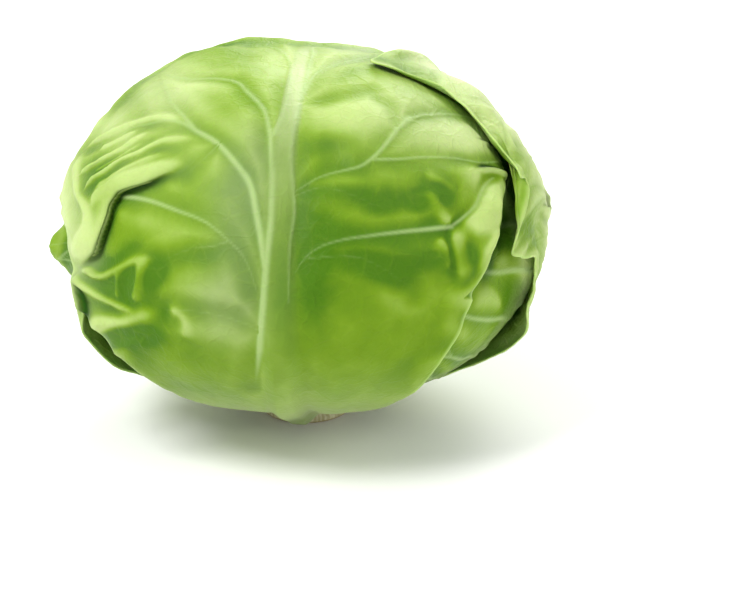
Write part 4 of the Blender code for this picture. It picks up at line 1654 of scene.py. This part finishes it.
def stem_paint():
    """Pale pith with growth rings on the cut, and a fibrous green-brown skin."""
    made = bpy.data.materials.new("stem_paint")
    made.use_nodes = True
    tree = made.node_tree
    shader = tree.nodes["Principled BSDF"]
    nodes = Nodes(tree)
    place = nodes.add("ShaderNodeTexCoord", output="Object")
    height = nodes.add("ShaderNodeSeparateXYZ", None, {"Vector": place}, output="Z")
    level = nodes.add(
        "ShaderNodeVectorMath", {"operation": "MULTIPLY"}, {0: place, 1: (1.0, 1.0, 0.0)}
    )
    reach = nodes.add("ShaderNodeVectorMath", {"operation": "LENGTH"}, {0: level}, output="Value")
    wobble = nodes.add(
        "ShaderNodeTexNoise", None, {"Vector": place, "Scale": WOBBLE_SCALE, "Detail": 3.0}
    )
    turns = (reach + wobble * RING_WOBBLE) * RING_RATE
    rings = nodes.add("ShaderNodeMath", {"operation": "SINE"}, {0: turns})
    stretched = nodes.add(
        "ShaderNodeVectorMath", {"operation": "MULTIPLY"}, {0: place, 1: FIBRE_STRETCH}
    )
    fibres = nodes.add(
        "ShaderNodeTexNoise", None, {"Vector": stretched, "Scale": FIBRE_SCALE, "Detail": 3.0}
    )
    cut = nodes.mix(nodes.step(rings, *RING_RANGE) * RING_SHARE, PITH_COLOUR, CUT_BROWN)
    cut = nodes.mix(nodes.step(reach, BARK_INNER, BARK_OUTER) * CUT_EDGE_SHARE, cut, CUT_BROWN)
    skin = nodes.mix(nodes.step(fibres, *FIBRE_RANGE), BARK_COLOUR, PITH_COLOUR)
    colour = nodes.mix(nodes.step(height, CUT_HEIGHT, 2.0 * CUT_HEIGHT), cut, skin)
    tree.links.new(colour.socket, shader.inputs["Base Color"])
    rough = STEM_ROUGHNESS + FIBRE_ROUGHNESS * fibres
    tree.links.new(rough.socket, shader.inputs["Roughness"])
    relief = fibres + rings * RING_BUMP
    bump = nodes.add(
        "ShaderNodeBump",
        None,
        {"Strength": STEM_BUMP_STRENGTH, "Distance": STEM_BUMP_HEIGHT, "Height": relief},
    )
    tree.links.new(bump.socket, shader.inputs["Normal"])
    return made


# %% Stem
STEM_SIDES = 96
STEM_PROFILE = (
    # radius, height
    (0.0120, 0.0002),
    (0.0163, 0.0000),
    (0.0172, 0.0004),
    (0.0176, 0.0014),
    (0.0179, 0.0040),
    (0.0184, 0.0072),
    (0.0172, 0.0092),
    (0.0150, 0.0110),
    (0.0132, 0.0126),
    (0.0122, 0.0180),
    (0.0104, 0.0260),
    (0.0082, 0.0350),
)
STEM_ROWS = 45
STEM_TOP = 0.0352
CUT_HOLLOW = 0.0004
FIBRE_SEED = 5
FIBRE_DEPTH = 0.0003
SCAR_DEPTH = 0.0006
SCAR_COUNT = 5.0
SCAR_LEAN = 700.0
SCAR_RATE = 900.0
FIBRES_ROUND = 6.0
FIBRES_UP = 90.0
SKIN_START = 0.0008
SKIN_RISE = 0.002


def make_stem():
    """The stump, turned from a profile, with fibres and the scars of shed leaves."""
    around = np.linspace(0.0, 2.0 * math.pi, STEM_SIDES, endpoint=False)
    profile = np.array(STEM_PROFILE)
    fine = np.linspace(0.0, len(profile) - 1.0, STEM_ROWS)
    radius = np.interp(fine, np.arange(len(profile)), profile[:, 0])
    height = np.interp(fine, np.arange(len(profile)), profile[:, 1])
    turn, row = np.meshgrid(around, np.arange(len(fine)))
    turn = turn.ravel()
    row = row.ravel()
    on_side = smoothstep((height[row] - SKIN_START) / SKIN_RISE)
    level = height[row]
    fibre_cells = np.stack([turn * FIBRES_ROUND, level * FIBRES_UP, turn * 0.0], axis=-1)
    fibre = FIBRE_DEPTH * (0.5 + 0.5 * smooth_noise(fibre_cells, FIBRE_SEED))
    scar = np.cos(SCAR_COUNT * turn + SCAR_LEAN * level) * np.cos(SCAR_RATE * level)
    reach = radius[row] - on_side * (fibre + SCAR_DEPTH * smoothstep(scar))
    points = np.stack([reach * np.cos(turn), reach * np.sin(turn), height[row]], axis=-1)
    ends = np.array([[0.0, 0.0, CUT_HOLLOW], [0.0, 0.0, STEM_TOP]])
    points = np.concatenate([points, ends])
    index = np.arange(len(turn)).reshape(len(fine), STEM_SIDES)
    index = np.concatenate([index, index[:, :1]], axis=1)
    low = len(turn)
    cap_low = np.stack([np.full(STEM_SIDES, low), index[0, 1:], index[0, :-1]], axis=-1)
    cap_top = np.stack([np.full(STEM_SIDES, low + 1), index[-1, :-1], index[-1, 1:]], axis=-1)
    mesh = build_mesh("stem_stump", points, grid_quads(index), np.concatenate([cap_low, cap_top]))
    piece = bpy.data.objects.new("stem_cut_stump", mesh)
    bpy.context.scene.collection.objects.link(piece)
    mesh.materials.append(stem_paint())
    show(piece, "stem")
    return piece


stem_piece = make_stem()
print("stem:", len(stem_piece.data.polygons), "faces")

# %% [markdown]
# ## Floor and light
#
# The head stands on a plain white floor in a white room. A broad lamp from the upper left models the
# veins, a weaker one from the right opens the shade, and the white surroundings wash over the edges.

# %% Floor
FLOOR_SIZE = 12.0
FLOOR_COLOUR = (0.93, 0.93, 0.92, 1.0)
FLOOR_ROUGHNESS = 0.8

bpy.ops.mesh.primitive_plane_add(size=FLOOR_SIZE, location=(0.0, 0.0, 0.0))
floor = bpy.context.object
floor.name = "white_floor"
floor_paint = bpy.data.materials.new("white_floor_paint")
floor_paint.use_nodes = True
floor_shader = floor_paint.node_tree.nodes["Principled BSDF"]
floor_shader.inputs["Base Color"].default_value = FLOOR_COLOUR
floor_shader.inputs["Roughness"].default_value = FLOOR_ROUGHNESS
floor.data.materials.append(floor_paint)

# %% Lights
WORLD_COLOUR = (1.0, 1.0, 1.0, 1.0)
WORLD_STRENGTH = 0.62
LAMPS = (
    # name, place and size in metres, power in watts
    ("key", (-0.55, -0.45, 0.95), 0.45, 10.8),
    ("fill", (0.9, -0.5, 0.6), 0.8, 4.2),
    ("back", (0.3, 0.9, 0.8), 0.7, 10.0),
)


def soft_lamp(name, place, size, power):
    """A square lamp aimed at the head."""
    lamp = bpy.data.lights.new(name, "AREA")
    lamp.energy = power
    lamp.size = size
    made = bpy.data.objects.new(name, lamp)
    bpy.context.scene.collection.objects.link(made)
    made.location = place
    made.rotation_mode = "QUATERNION"
    made.rotation_quaternion = (HEAD_CENTRE - made.location).to_track_quat("-Z", "Y")


for lamp_name, place, size, power in LAMPS:
    soft_lamp(lamp_name, place, size, power)
world = bpy.data.worlds.new("white_room")
world.use_nodes = True
background = world.node_tree.nodes["Background"]
background.inputs["Color"].default_value = WORLD_COLOUR
background.inputs["Strength"].default_value = WORLD_STRENGTH
bpy.context.scene.world = world
bpy.context.scene.view_settings.view_transform = "Standard"
